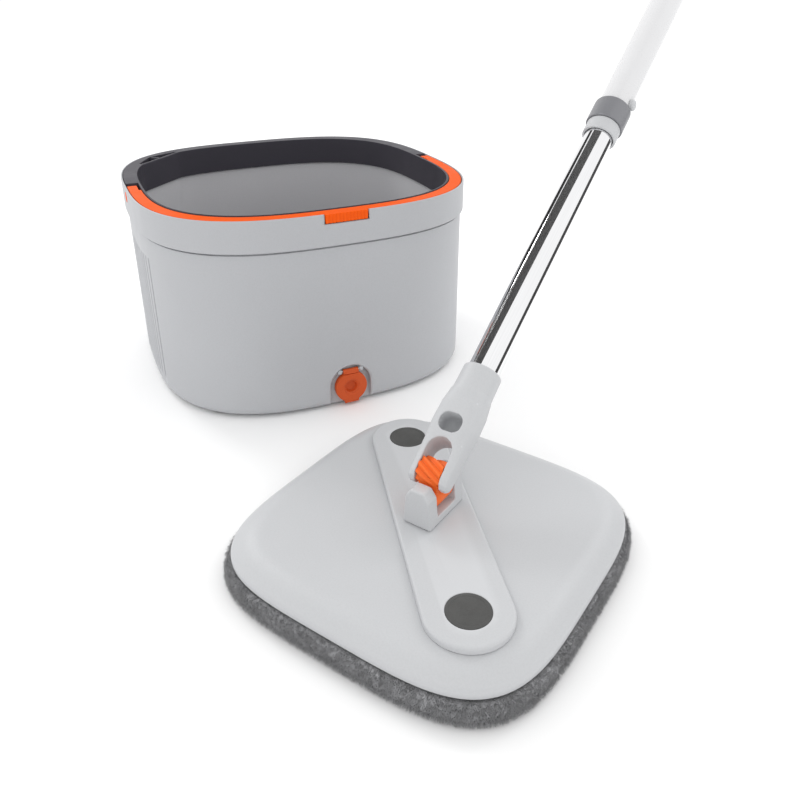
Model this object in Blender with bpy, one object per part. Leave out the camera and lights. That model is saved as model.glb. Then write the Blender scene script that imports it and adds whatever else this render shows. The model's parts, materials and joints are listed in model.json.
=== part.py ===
"""Mop and bucket with wringer: a square bucket with a spin plate, and a square flat mop beside it.

Metres, +Z up. The origin is the middle of the bucket's underside, on the floor. The bucket's front,
with the drain plug, faces -Y. The mop has a frame of its own, an empty on the floor before the bucket,
and the two hinges of its universal joint are empties that the pole's pieces hang from.
"""

import math

import bmesh
import bpy
from mathutils import Matrix, Vector

# Bucket: half widths are of the rounded-square plan, measured to its flat sides
RIM_HALF = 0.1550
RIM_TOP = 0.1825
PLAN_POWER = 2.93
COLLAR_HEIGHT = 0.0277
WALL = 0.0025
FOOT_LIFT = 0.0020
GAP = 0.0003
SHELL_HALF = RIM_HALF - 0.0022
SHELL_TOP = RIM_TOP - 0.0245
INNER_HALF = 0.1400
DUCT_DISTANCE = 0.1505
BASIN_FLOOR = 0.0400
SKIRT_BOTTOM = 0.1550
FLANGE_BOTTOM = RIM_TOP - 0.0090
CHANNEL_DEPTH = 0.0064
BAIL_PIVOT_Z = RIM_TOP - 0.0090
TAB_HALF = 0.0185
PLUG_Z = 0.0185
PLUG_RADIUS = 0.0150
PLUG_HINGE_Z = 0.0345
RECESS_Y = -SHELL_HALF + 0.0045
PLUG_HINGE_Y = RECESS_Y - 0.0027

# Spin plate and its spindle
SPIN_RADIUS = 0.1220
SPIN_Z = 0.0500
SPINDLE_RADIUS = 0.0050

# Mop head: centre on the floor, turned to the way the pole leans
MOP_CENTRE = (-0.0212, -0.3578)
MOP_TURN = math.radians(30.8)
PAD_HALF = 0.1168
PLATE_HALF = 0.1125
PLATE_POWER = 4.09
PAD_TOP = 0.0157
PLATE_TOP = 0.0300
BAR_TOP = 0.0345
BAR_HALF_WIDTH = 0.0271
CAP_DISTANCE = 0.0899
CAP_RADIUS = 0.0137

# Universal joint: the lower hinge runs along the head's X, the upper one along its Y
LOWER_HINGE_Z = 0.0500
HINGE_RISE = 0.0150
SIDE_TILT = math.radians(-1.2)
LEAN = math.radians(54.5)
PIN_RADIUS = 0.0025
PIN_HOLE = 0.0028
EAR_INNER = 0.0110
EAR_OUTER = 0.0208
PIN_REACH = 0.0179
PRONG_INNER = 0.0093
PRONG_OUTER = 0.0145

# Pole, measured along its own axis from the upper hinge
WINDOW_ARCH = 0.0127
SCREW_HEIGHT = 0.0680
SOCKET_TOP = 0.0780
LOWER_TUBE_RADIUS = 0.0113
UPPER_TUBE_RADIUS = 0.0127
TUBE_WALL = 0.0008
LOWER_TUBE_START = 0.0520
LOWER_TUBE_END = 0.6400
COLLAR_START = 0.3000
LOCK_START = 0.3118
LOCK_END = 0.3325
UPPER_TUBE_END = 1.1000
NUT_Z = 0.6240
ROD_PITCH = 0.1600
ROD_START = 0.6170
ROD_END = 1.0320
GRIP_START = 0.9700

PLAN_STEPS = 48
ROUND_STEPS = 20


# Materials

def material(name, colour, roughness, metallic=0.0):
    result = bpy.data.materials.new(name)
    result.use_nodes = True
    shader = result.node_tree.nodes["Principled BSDF"]
    shader.inputs["Base Color"].default_value = (*colour, 1.0)
    shader.inputs["Roughness"].default_value = roughness
    shader.inputs["Metallic"].default_value = metallic
    return result


# Outlines

def plan(half, z, power=PLAN_POWER, clip=None, steps=PLAN_STEPS):
    """A rounded-square ring at height z; clip cuts its back left corner off at that distance."""
    ring = []
    for index in range(steps):
        angle = 2 * math.pi * (index + 0.5) / steps
        c, s = math.cos(angle), math.sin(angle)
        x = half * math.copysign(abs(c) ** (2 / power), c)
        y = half * math.copysign(abs(s) ** (2 / power), s)
        reach = (y - x) / math.sqrt(2)
        if clip and reach > clip:
            x, y = x * clip / reach, y * clip / reach
        ring.append(Vector((x, y, z)))
    return ring


def circle(radius, z, steps=ROUND_STEPS):
    angles = [2 * math.pi * index / steps for index in range(steps)]
    return [Vector((radius * math.cos(a), radius * math.sin(a), z)) for a in angles]


def stadium(half_length, half_width, z, steps=12):
    """A long outline with round ends, along X."""
    ring = []
    for side, start in ((1, -math.pi / 2), (-1, math.pi / 2)):
        for index in range(steps + 1):
            angle = start + math.pi * index / steps
            ring.append(Vector((side * half_length + half_width * math.cos(angle),
                                half_width * math.sin(angle), z)))
    return ring


def rectangle(half_x, half_y, z):
    signs = ((1, -1), (1, 1), (-1, 1), (-1, -1))
    return [Vector((sign_x * half_x, sign_y * half_y, z)) for sign_x, sign_y in signs]


# Solids

def add_object(name, mesh, look, parent=None, matrix=None):
    result = bpy.data.objects.new(name, mesh)
    bpy.context.scene.collection.objects.link(result)
    if look:
        mesh.materials.append(look)
    result.parent = parent
    if matrix:
        result.matrix_local = matrix
    return result


def loft(name, rings, look=None, parent=None, matrix=None, closed=False, sharp=35):
    """Join rings of points into a solid: capped at both ends, or closed on itself like a hoop."""
    shape = bmesh.new()
    loops = [[shape.verts.new(point) for point in ring] for ring in rings]
    pairs = list(zip(loops, loops[1:]))
    if closed:
        pairs.append((loops[-1], loops[0]))
    for low, high in pairs:
        for index in range(len(low)):
            following = (index + 1) % len(low)
            shape.faces.new((low[index], low[following], high[following], high[index]))
    if not closed:
        shape.faces.new(list(reversed(loops[0])))
        shape.faces.new(loops[-1])
    bmesh.ops.recalc_face_normals(shape, faces=shape.faces)
    mesh = bpy.data.meshes.new(name)
    shape.to_mesh(mesh)
    shape.free()
    mesh.shade_smooth()
    mesh.set_sharp_from_angle(angle=math.radians(sharp))
    return add_object(name, mesh, look, parent, matrix)


def turned(name, profile, look=None, parent=None, matrix=None, closed=False, steps=ROUND_STEPS):
    """A solid turned about Z from (radius, z) pairs."""
    rings = [circle(radius, z, steps) for radius, z in profile]
    return loft(name, rings, look, parent, matrix, closed)


def box(name, low, high, look=None, parent=None, matrix=None):
    middle = [(a + b) / 2 for a, b in zip(low, high)]
    rings = [rectangle((high[0] - low[0]) / 2, (high[1] - low[1]) / 2, z) for z in (low[2], high[2])]
    for ring in rings:
        for point in ring:
            point.x += middle[0]
            point.y += middle[1]
    return loft(name, rings, look, parent, matrix)


def tube(name, outer, inner, low, high, look, parent=None, matrix=None, steps=ROUND_STEPS):
    profile = [(outer, low), (outer, high), (inner, high), (inner, low)]
    return turned(name, profile, look, parent, matrix, closed=True, steps=steps)


def extruded(name, outline, low, high, look=None, parent=None, matrix=None):
    """A flat (x, y) outline raised from low to high."""
    rings = [[Vector((x, y, z)) for x, y in outline] for z in (low, high)]
    return loft(name, rings, look, parent, matrix)


def combine(target, tool, operation):
    tool.hide_render = True
    tool.display_type = "WIRE"
    change = target.modifiers.new(tool.name, "BOOLEAN")
    change.operation = operation
    change.solver = "EXACT"
    change.object = tool


def cut(target, *tools):
    for tool in tools:
        combine(target, tool, "DIFFERENCE")


def join(target, *tools):
    for tool in tools:
        combine(target, tool, "UNION")


def soften(target, width, segments=2, angle=40):
    edge = target.modifiers.new("soft_edges", "BEVEL")
    edge.width = width
    edge.segments = segments
    edge.limit_method = "ANGLE"
    edge.angle_limit = math.radians(angle)


def facing(axis, place=(0.0, 0.0, 0.0)):
    """Turn a solid's Z to the named axis and move it to a place."""
    turns = {"X": Matrix.Rotation(math.pi / 2, 4, "Y"), "Y": Matrix.Rotation(-math.pi / 2, 4, "X"),
             "Z": Matrix.Identity(4), "-Y": Matrix.Rotation(math.pi / 2, 4, "X"),
             "-X": Matrix.Rotation(-math.pi / 2, 4, "Y")}
    return Matrix.Translation(place) @ turns[axis]


def frame(name, parent=None, matrix=None):
    """An empty that a moving group of pieces hangs from."""
    result = bpy.data.objects.new(name, None)
    bpy.context.scene.collection.objects.link(result)
    result.parent = parent
    result.matrix_local = matrix or Matrix.Identity(4)
    return result


# Bucket

def bucket_shell(look):
    bottom = FOOT_LIFT
    outside = [(0.0062, 0.0), (0.0024, 0.0016), (0.0006, 0.0052), (0.0, 0.0120)]
    rings = [plan(SHELL_HALF - inset, bottom + rise) for inset, rise in outside]
    rings.append(plan(SHELL_HALF, SHELL_TOP))
    rings.append(plan(SHELL_HALF - WALL, SHELL_TOP))
    rings += [plan(SHELL_HALF - inset - WALL, bottom + rise + 0.0028) for inset, rise in reversed(outside)]
    shell = loft("bucket_shell", rings, look)
    join(shell, *drain_housing())
    cut(shell, drain_recess(), turned("drain_hole_cutter", [(0.0086, -0.03), (0.0086, 0.03)],
                                      matrix=facing("Y", (0, -SHELL_HALF, PLUG_Z))))
    join(shell, *plug_pin_keepers())
    cut(shell, turned("keeper_bore_cutter", [(0.0011, -0.02), (0.0011, 0.02)], steps=12,
                      matrix=facing("X", (0, PLUG_HINGE_Y, PLUG_HINGE_Z))))
    cut(shell, *panel_grooves())


def arch(radius, height, low):
    """A round-topped outline in X and height, standing on low."""
    steps = 16
    angles = [math.pi * (1 - index / steps) for index in range(steps + 1)]
    top = [(radius * math.cos(a), height - radius + radius * math.sin(a)) for a in angles]
    return [(-radius, low)] + top + [(radius, low)]


def upright(outline, y_front, y_back, name):
    """Stand an (x, z) outline up and give it depth along Y."""
    rings = [[Vector((x, y, z)) for x, z in outline] for y in (y_front, y_back)]
    return loft(name, rings)


def drain_recess():
    return upright(arch(0.0195, 0.0395, -0.01), -SHELL_HALF - 0.01, RECESS_Y, "drain_recess_cutter")


def drain_housing():
    """The pocket's side walls and its back wall, which stand into the tank behind the plug."""
    back = upright(arch(0.0220, 0.0420, FOOT_LIFT + 0.0010),
                   RECESS_Y - 0.0003, RECESS_Y + 0.0027, "housing_back")
    sides = upright(arch(0.0218, 0.0418, FOOT_LIFT + 0.0064),
                    -SHELL_HALF + 0.0015, RECESS_Y + 0.0010, "housing_sides")
    return back, sides


def plug_pin_keepers():
    """The two lugs in the pocket that hold the plug's hinge pin."""
    keepers = []
    for side, sign in (("left", -1), ("right", 1)):
        low, high = sorted((sign * 0.0080, sign * 0.0122))
        keepers.append(box("plug_keeper_" + side, (low, PLUG_HINGE_Y - 0.0021, PLUG_HINGE_Z - 0.0022),
                           (high, RECESS_Y + 0.0006, PLUG_HINGE_Z + 0.0020)))
    return keepers


def panel_grooves():
    """Upright flutes on the left side."""
    count, first, pitch, depth = 10, -0.059, 0.0086, 0.0009
    grooves = []
    for index in range(count):
        y = first + pitch * index
        x = -SHELL_HALF * (1 - abs(y / SHELL_HALF) ** PLAN_POWER) ** (1 / PLAN_POWER)
        grooves.append(box("groove_cutter_%d" % (index + 1), (x - 0.004, y - 0.0017, 0.0150),
                           (x + depth, y + 0.0017, 0.1340)))
    return grooves


def rim_collar(look):
    outer, inner = RIM_HALF, SHELL_HALF + GAP
    low = RIM_TOP - COLLAR_HEIGHT
    ledge_low, ledge_high = SHELL_TOP + GAP, SHELL_TOP + 0.0023
    profile = [(inner, low), (outer - 0.0006, low), (outer, low + 0.0008), (outer, RIM_TOP - 0.0009),
               (outer - 0.0005, RIM_TOP - 0.0002), (inner + 0.0004, RIM_TOP - 0.0002),
               (inner + 0.0004, ledge_high), (0.1456, ledge_high), (0.1456, ledge_low), (inner, ledge_low)]
    collar = loft("rim_collar", [plan(half, z) for half, z in profile], look, closed=True)
    notch = box("tab_notch_cutter", (-TAB_HALF - 0.0010, -RIM_HALF - 0.01, RIM_TOP - 0.0084),
                (TAB_HALF + 0.0010, -0.1500, RIM_TOP + 0.01))
    cut(collar, notch)
    for side, sign in (("left", -1), ("right", 1)):
        cut(collar, turned("pivot_hole_cutter_" + side, [(0.0053, -0.01), (0.0053, 0.01)],
                           matrix=facing("X", (sign * RIM_HALF, 0, BAIL_PIVOT_Z))))


def inner_frame(look):
    """The dark rim: a flange with an inner lip and skirt, a channel for the bail and a corner tray."""
    skirt_in, skirt_out = INNER_HALF, INNER_HALF + 0.0020
    outer = 0.1529
    clip_in, clip_out = DUCT_DISTANCE, DUCT_DISTANCE + 0.0020
    profile = [(skirt_in, SKIRT_BOTTOM, clip_in), (skirt_out, SKIRT_BOTTOM, clip_out),
               (skirt_out, FLANGE_BOTTOM, clip_out), (outer - 0.0022, FLANGE_BOTTOM, None),
               (outer - 0.0022, SHELL_TOP + 0.0026, None), (outer, SHELL_TOP + 0.0026, None),
               (outer, RIM_TOP - 0.0008, None), (outer - 0.0008, RIM_TOP, None),
               (skirt_in + 0.0006, RIM_TOP, clip_in + 0.0006), (skirt_in, RIM_TOP - 0.0008, clip_in)]
    rings = [plan(half, z, clip=clip) for half, z, clip in profile]
    rim = loft("inner_frame", rings, look, closed=True)
    cut(rim, bail_channel_cutter(), *corner_tray_cutters(), *lug_pocket_cutters())


def bail_channel_cutter():
    """The front half of the rim, cut down to the level that the bail rests on."""
    rings = [front_half(INNER_HALF + 0.0021, z) + list(reversed(front_half(0.1560, z)))
             for z in (RIM_TOP - CHANNEL_DEPTH, RIM_TOP + 0.005)]
    return loft("bail_channel_cutter", rings)


def front_half(half, z, end_y=0.0108, steps=28):
    """The plan's front half, from just behind the left pivot round to the right one."""
    points = []
    for index in range(steps + 1):
        angle = math.pi + math.pi * index / steps
        c, s = math.cos(angle), math.sin(angle)
        points.append(Vector((half * math.copysign(abs(c) ** (2 / PLAN_POWER), c),
                              half * math.copysign(abs(s) ** (2 / PLAN_POWER), s), z)))
    return [Vector((-half, end_y, z))] + points[1:-1] + [Vector((half, end_y, z))]


def corner_tray_cutters():
    """The two shallow trays behind the corner wall, with a rib between them, and their filling slots."""
    floor, tools = RIM_TOP - 0.0055, []
    near, far = DUCT_DISTANCE + 0.0022, 0.1640
    for name, low, high in (("left", -0.0290, -0.0015), ("back", 0.0015, 0.0290)):
        ends = (low, high) if abs(low) < abs(high) else (high, low)
        outline = [(near, ends[0]), (far, ends[0]), (far - 0.0085, ends[1]), (near, ends[1])]
        if ends[1] < ends[0]:
            outline.reverse()
        turn = Matrix.Rotation(math.radians(135), 4, "Z")
        tools.append(extruded("tray_cutter_" + name, outline, floor, RIM_TOP + 0.01, matrix=turn))
        slot = sorted((ends[0] * 3, ends[1] * 0.72))
        tools.append(box("slot_cutter_" + name, (near + 0.0012, slot[0], FLANGE_BOTTOM - 0.01),
                         (near + 0.0058, slot[1], RIM_TOP), matrix=turn))
    return tools


def lug_pocket_cutters():
    """Room for the bail's two ears to turn in."""
    tools = []
    for side, sign in (("left", -1), ("right", 1)):
        low, high = sorted((sign * 0.1438, sign * 0.1560))
        tools.append(box("lug_pocket_cutter_" + side, (low, -0.0118, SHELL_TOP - 0.01),
                         (high, 0.0108, RIM_TOP + 0.01)))
    return tools


def wash_basin(look):
    """The inner bowl that the mop spins in; its cut corner leaves the filling duct free."""
    outer, inner = INNER_HALF + 0.0040, INNER_HALF + 0.0024
    top, floor = FLANGE_BOTTOM - 0.0004, BASIN_FLOOR
    skin = DUCT_DISTANCE + 0.0046
    outside = [(outer - 0.0110, floor - 0.0025), (outer - 0.0065, floor + 0.0005),
               (outer - 0.0040, floor + 0.0080), (outer, SKIRT_BOTTOM - 0.0060), (outer, top)]
    inside = [(inner, top), (inner, SKIRT_BOTTOM - 0.0040), (inner - 0.0040, floor + 0.0080),
              (inner - 0.0062, floor + 0.0024), (inner - 0.0095, floor)]
    rings = [plan(half, z, clip=skin) for half, z in outside]
    rings += [plan(half, z, clip=skin - 0.0022) for half, z in inside]
    basin = loft("wash_basin", rings, look)
    join(basin, turned("spindle_boss", [(0.0170, floor - 0.0050), (0.0170, floor + 0.0055)]))
    cut(basin, turned("bearing_bore_cutter", [(0.0113, 0.0), (0.0113, 0.08)]))
    for index, angle in enumerate((-100, -90, -80)):
        spot = Matrix.Rotation(math.radians(angle), 4, "Z") @ Matrix.Translation((0.128, 0, 0))
        cut(basin, turned("drain_port_cutter_%d" % (index + 1), [(0.0035, 0.03), (0.0035, 0.05)], steps=12,
                          matrix=spot))


def spindle_parts(housing_look, steel, bush_look):
    turned("bearing_housing", [(0.0130, 0.0052), (0.0130, 0.0080), (0.0109, 0.0100), (0.0109, 0.0445),
                               (0.0078, 0.0445), (0.0078, 0.0075), (0.0040, 0.0075), (0.0040, 0.0052)],
           housing_look, closed=True)
    for name, low in (("lower_bush", 0.0085), ("upper_bush", 0.0385)):
        tube(name, 0.0075, 0.0053, low, low + 0.0055, bush_look, steps=24)
    turned("thrust_ball", [(0.0006, 0.0078), (0.0022, 0.0087), (0.0030, 0.0108), (0.0022, 0.0129),
                           (0.0006, 0.0138)], steel, steps=12)
    spin = frame("spin_frame")
    turned("spindle", [(SPINDLE_RADIUS - 0.0015, 0.0142), (SPINDLE_RADIUS, 0.0152), (SPINDLE_RADIUS, 0.0655),
                       (SPINDLE_RADIUS - 0.0010, 0.0665)], steel, spin, steps=24)
    tube("spindle_clip", 0.0066, 0.00525, 0.0358, 0.0370, steel, spin, steps=24)
    return spin


def spin_plate(look, cap_look, spin):
    """The turntable that the pad is pressed on: a dished disc with a hub, pad ribs and water holes."""
    low = SPIN_Z
    profile = [(0.0053, low + 0.0130), (0.0053, low - 0.0040), (0.0105, low - 0.0040), (0.0125, low),
               (SPIN_RADIUS - 0.0040, low), (SPIN_RADIUS, low + 0.0035), (SPIN_RADIUS, low + 0.0070),
               (SPIN_RADIUS - 0.0022, low + 0.0070), (SPIN_RADIUS - 0.0030, low + 0.0030),
               (0.0150, low + 0.0030), (0.0110, low + 0.0130)]
    plate = turned("spin_plate", profile, look, spin, closed=True, steps=40)
    for index in range(8):
        turn = Matrix.Rotation(2 * math.pi * (index + 0.5) / 8, 4, "Z")
        rib = box("scrub_rib_%d" % (index + 1), (0.0300, -0.0016, low + 0.0015),
                  (0.1120, 0.0016, low + 0.0060), matrix=turn)
        join(plate, rib)
        hole = turned("water_hole_cutter_%d" % (index + 1), [(0.0050, low - 0.01), (0.0050, low + 0.01)],
                      steps=12, matrix=Matrix.Rotation(2 * math.pi * (index + 0.1) / 8, 4, "Z")
                      @ Matrix.Translation((0.0800, 0, 0)))
        cut(plate, hole)
    turned("spin_plate_cap", [(0.0108, low + 0.0133), (0.0108, low + 0.0150), (0.0090, low + 0.0185),
                              (0.0030, low + 0.0195), (0.0020, low + 0.0180), (0.0058, low + 0.0170),
                              (0.0058, low + 0.0133)], cap_look, spin, closed=True)


def bail(look):
    """The folded-down carrying handle, its two pivots and the finger tab at its middle."""
    hinge = frame("bail_frame", matrix=Matrix.Translation((0, 0, BAIL_PIVOT_Z)))
    low, high = RIM_TOP - CHANNEL_DEPTH + GAP - BAIL_PIVOT_Z, RIM_TOP - GAP - BAIL_PIVOT_Z
    inner, outer = INNER_HALF + 0.0025, 0.1527
    levels = ((low, 0.0), (high - 0.0008, 0.0), (high, 0.0008))
    rings = [front_half(inner + inset, z, 0.0040) + list(reversed(front_half(outer - inset, z, 0.0040)))
             for z, inset in levels]
    band = loft("bail_handle", rings, look, hinge)
    for side, axis in (("left", "-X"), ("right", "X")):
        join(band, turned("bail_ear_" + side, [(0.0078, 0.1450), (0.0078, 0.1524)], parent=hinge,
                          matrix=facing(axis)))
    tab_low, tab_high = (-TAB_HALF, -0.1548, high - 0.0058), (TAB_HALF, -0.1480, high)
    join(band, box("bail_tab_top", tab_low, tab_high, parent=hinge), grip_tab_lip(hinge, high))
    for side, sign in (("left", -1), ("right", 1)):
        near, far = sorted((sign * 0.1400, sign * 0.1444))
        cut(band, box("bail_relief_cutter_" + side, (near, -0.0135, low - 0.01), (far, 0.0060, high + 0.01),
                      parent=hinge))
    cut(band, turned("bail_bore_cutter", [(0.0033, -0.2), (0.0033, 0.2)], matrix=facing("X"), parent=hinge))
    for side, axis in (("left", "-X"), ("right", "X")):
        turned("bail_pivot_" + side, [(0.0030, 0.1446), (0.0030, 0.1528), (0.0049, 0.1528), (0.0049, 0.1549),
                                      (0.0043, 0.1554)], look, hinge, facing(axis))


def grip_tab_lip(hinge, high):
    """The finger tab's lip, which hangs over the collar's notch and is ribbed on its outer side."""
    teeth = 12
    outline = [(TAB_HALF, -0.1533), (-TAB_HALF, -0.1533)]
    for index in range(teeth * 2 + 1):
        outline.append((-TAB_HALF + TAB_HALF * index / teeth, -0.1556 if index % 2 else -0.1549))
    return extruded("bail_tab_lip", outline, high - 0.0076, high, parent=hinge)


def drain_plug(look, pin_look, seal_look):
    """The round drain plug on its strap, hinged at the top of its pocket, with a spigot and seal behind."""
    hinge = frame("plug_frame", matrix=Matrix.Translation((0, PLUG_HINGE_Y, PLUG_HINGE_Z)))
    drop = PLUG_Z - PLUG_HINGE_Z
    spigot = 0.0022
    profile = [(0.0059, -spigot - 0.0085), (0.0064, -spigot - 0.0075), (0.0068, -spigot),
               (PLUG_RADIUS, -spigot), (PLUG_RADIUS, 0.0022), (PLUG_RADIUS - 0.0010, 0.0032),
               (0.0085, 0.0032), (0.0075, 0.0024), (0.0062, 0.0024), (0.0055, 0.0002), (0.0015, 0.0002)]
    body = turned("drain_plug", profile, look, hinge, facing("-Y", (0, 0, drop)))
    tab_low, tab_high = (-0.0068, -0.0030, drop - 0.0157), (0.0068, 0.0008, drop - 0.0100)
    join(body, box("plug_strap", (-0.0072, -0.0024, drop + 0.0100), (0.0072, 0.0019, 0.0018), parent=hinge),
         box("plug_pull_tab", tab_low, tab_high, parent=hinge))
    cut(body, turned("plug_pin_bore_cutter", [(0.0011, -0.02), (0.0011, 0.02)], steps=12, parent=hinge,
                     matrix=facing("X")))
    turned("plug_hinge_pin", [(0.0008, -0.0118), (0.0008, 0.0118)], pin_look, hinge, facing("X"), steps=12)
    tube("plug_seal", 0.0080, 0.0071, 0.0036, 0.0060, seal_look, hinge, facing("Y", (0, 0, drop)), steps=24)


def feet(look):
    """A broad rubber disc under the middle and a small one under each corner."""
    turned("centre_foot", [(0.0250, 0.0), (0.0260, 0.0006), (0.0260, FOOT_LIFT - GAP)], look)
    reach = 0.1080
    profile = [(0.0100, 0.0), (0.0110, 0.0006), (0.0110, FOOT_LIFT - GAP)]
    for depth, y in (("front", -reach), ("back", reach)):
        for side, x in (("left", -reach), ("right", reach)):
            turned("foot_%s_%s" % (depth, side), profile, look, steps=24,
                   matrix=Matrix.Translation((x, y, 0)))


# Mop head

def mop_pad(look, head):
    profile = [(PAD_HALF - 0.0040, 0.0), (PAD_HALF, 0.0035), (PAD_HALF, 0.0110),
               (PAD_HALF - 0.0030, PAD_TOP - 0.0008), (PAD_HALF - 0.0055, PAD_TOP)]
    loft("mop_pad", [plan(half, z, PLATE_POWER, steps=40) for half, z in profile], look, head)


def hook_strips(look, head):
    low, high = PAD_TOP + GAP, PAD_TOP + 0.0011
    for name, sign_x, sign_y in (("front", 0, -1), ("back", 0, 1), ("left", -1, 0), ("right", 1, 0)):
        half_x, half_y = (0.0500, 0.0100) if sign_y else (0.0100, 0.0500)
        x, y = sign_x * 0.0820, sign_y * 0.0820
        box("hook_strip_" + name, (x - half_x, y - half_y, low), (x + half_x, y + half_y, high), look, head)


def plate_screw_spots():
    """The four screws that hold the cover down, numbered, midway between the bar and the rim."""
    distance = 0.07
    places = ((distance, 0, 0), (0, distance, 0), (-distance, 0, 0), (0, -distance, 0))
    return [(index + 1, Matrix.Translation(place)) for index, place in enumerate(places)]


def base_plate(look, screw_look, head):
    low, high = PAD_TOP + 0.0014, PAD_TOP + 0.0040
    rings = [plan(PLATE_HALF - 0.0032, z, PLATE_POWER, steps=40) for z in (low, high)]
    plate = loft("base_plate", rings, look, head)
    hole = [(0.0038, low - 0.01), (0.0038, low + 0.0017), (0.0019, low + 0.0018), (0.0019, low + 0.01)]
    screw = [(0.0033, low + 0.0002), (0.0033, low + 0.0014), (0.0015, low + 0.0016), (0.0015, low + 0.0090)]
    for number, spot in plate_screw_spots():
        cut(plate, turned("plate_hole_cutter_%d" % number, hole, parent=head, matrix=spot, steps=16))
        turned("plate_screw_%d" % number, screw, screw_look, head, spot, steps=12)


def top_cover(look, head):
    """The cover shell: a short skirt, a sloping band all round and a flat top."""
    low = PAD_TOP + 0.0013
    outside = [(0.0, low), (0.0, 0.0200), (0.0016, 0.0226), (0.0095, 0.0288), (0.0150, PLATE_TOP)]
    inside = [(0.0200, PLATE_TOP - 0.0028), (0.0110, 0.0256), (0.0029, 0.0205), (0.0029, low)]
    rings = [plan(PLATE_HALF - inset, z, PLATE_POWER, steps=40) for inset, z in outside]
    rings.append(plan(0.0300, PLATE_TOP, PLATE_POWER, steps=40))
    rings.append(plan(0.0300, PLATE_TOP - 0.0028, PLATE_POWER, steps=40))
    rings += [plan(PLATE_HALF - inset, z, PLATE_POWER, steps=40) for inset, z in inside]
    cover = loft("top_cover", rings, look, head, closed=True)
    middle = 0.0320
    join(cover, box("cover_middle", (-middle, -middle, PLATE_TOP - 0.0028), (middle, middle, PLATE_TOP),
                    parent=head))
    boss = [(0.0045, 0.0200), (0.0045, PLATE_TOP - 0.0010)]
    hole = [(0.0018, 0.0100), (0.0018, PLATE_TOP - 0.0018)]
    for number, spot in plate_screw_spots():
        join(cover, turned("screw_boss_%d" % number, boss, parent=head, matrix=spot, steps=16))
        cut(cover, turned("boss_hole_cutter_%d" % number, hole, parent=head, matrix=spot, steps=12))


def centre_bar(look, cap_look, screw_look, head):
    """The raised bar across the plate, with a round cap over the screw at each end."""
    low = PLATE_TOP + GAP
    diagonal = Matrix.Rotation(math.radians(45), 4, "Z")
    levels = [(0.0, low), (0.0, BAR_TOP - 0.0026), (0.0008, BAR_TOP - 0.0010), (0.0026, BAR_TOP)]
    rings = [stadium(CAP_DISTANCE, BAR_HALF_WIDTH - inset, z) for inset, z in levels]
    bar = loft("centre_bar", rings, look, head, diagonal)
    seat = [(CAP_RADIUS + GAP, BAR_TOP - 0.0014), (CAP_RADIUS + GAP, BAR_TOP + 0.01)]
    hole = [(0.0030, low - 0.01), (0.0030, BAR_TOP + 0.01)]
    cap = [(CAP_RADIUS, BAR_TOP - 0.0011), (CAP_RADIUS, BAR_TOP - 0.0003), (CAP_RADIUS - 0.0004, BAR_TOP)]
    screw = [(0.0026, low + 0.0002), (0.0026, BAR_TOP - 0.0014)]
    for name, sign in (("near", -1), ("far", 1)):
        spot = diagonal @ Matrix.Translation((sign * CAP_DISTANCE, 0, 0))
        cut(bar, turned("cap_seat_cutter_" + name, seat, parent=head, matrix=spot),
            turned("bar_screw_hole_cutter_" + name, hole, parent=head, matrix=spot, steps=16))
        turned("round_cap_" + name, cap, cap_look, head, spot)
        turned("bar_screw_" + name, screw, screw_look, head, spot, steps=16)


def yoke_bracket(look, head):
    """A block on the bar with two ears, and a channel between them that the knuckle turns in."""
    low, floor, top = BAR_TOP + GAP, 0.0405, 0.0620
    shoulder = 0.0560
    outline = [(-0.0108, low), (0.0108, low), (0.0090, shoulder), (0.0050, top), (-0.0050, top),
               (-0.0090, shoulder)]
    rings = [[Vector((x, y, z)) for y, z in outline] for x in (-EAR_OUTER, EAR_OUTER)]
    bracket = loft("yoke_bracket", rings, look, head)
    soften(bracket, 0.0012)
    cut(bracket, box("channel_cutter", (-EAR_INNER, -0.03, floor), (EAR_INNER, 0.03, 0.10), parent=head),
        turned("ear_bore_cutter", [(PIN_HOLE, -PIN_REACH), (PIN_HOLE, PIN_REACH)], parent=head,
               matrix=facing("X", (0, 0, LOWER_HINGE_Z)), steps=16))


# Universal joint

def knuckle(look, steel, side_frame):
    """Two crossed barrels: the lower one turns in the bracket's ears, the upper one in the fork."""
    profile = [(0.0076, -0.0106), (0.0084, -0.0098), (0.0084, 0.0098), (0.0076, 0.0106)]
    barrel = turned("knuckle", profile, look, side_frame, facing("X"))
    teeth = 16
    rings = []
    for z in (-0.0089, 0.0089):
        ring = []
        for index in range(teeth * 2):
            angle = math.pi * index / teeth
            radius = 0.0102 if index % 2 else 0.0092
            ring.append(Vector((radius * math.cos(angle), radius * math.sin(angle), z)))
        rings.append(ring)
    upper = loft("knuckle_upper_barrel", rings, parent=side_frame, matrix=facing("Y", (0, 0, HINGE_RISE)))
    web = box("knuckle_web", (-0.0078, -0.0070, 0.0), (0.0078, 0.0070, HINGE_RISE), parent=side_frame)
    join(barrel, upper, web)
    for name, axis, rise, reach in (("knuckle_pin", "X", 0.0, 0.0175), ("fork_pin", "Y", HINGE_RISE, 0.0128)):
        place = facing(axis, (0, 0, rise))
        cut(barrel, turned(name + "_bore_cutter", [(PIN_HOLE, -0.02), (PIN_HOLE, 0.02)], parent=side_frame,
                           matrix=place, steps=16))
        profile = [(PIN_RADIUS - 0.0004, -reach), (PIN_RADIUS, -reach + 0.0005), (PIN_RADIUS, reach - 0.0005),
                   (PIN_RADIUS - 0.0004, reach)]
        turned(name, profile, steel, side_frame, place, steps=16)


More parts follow.
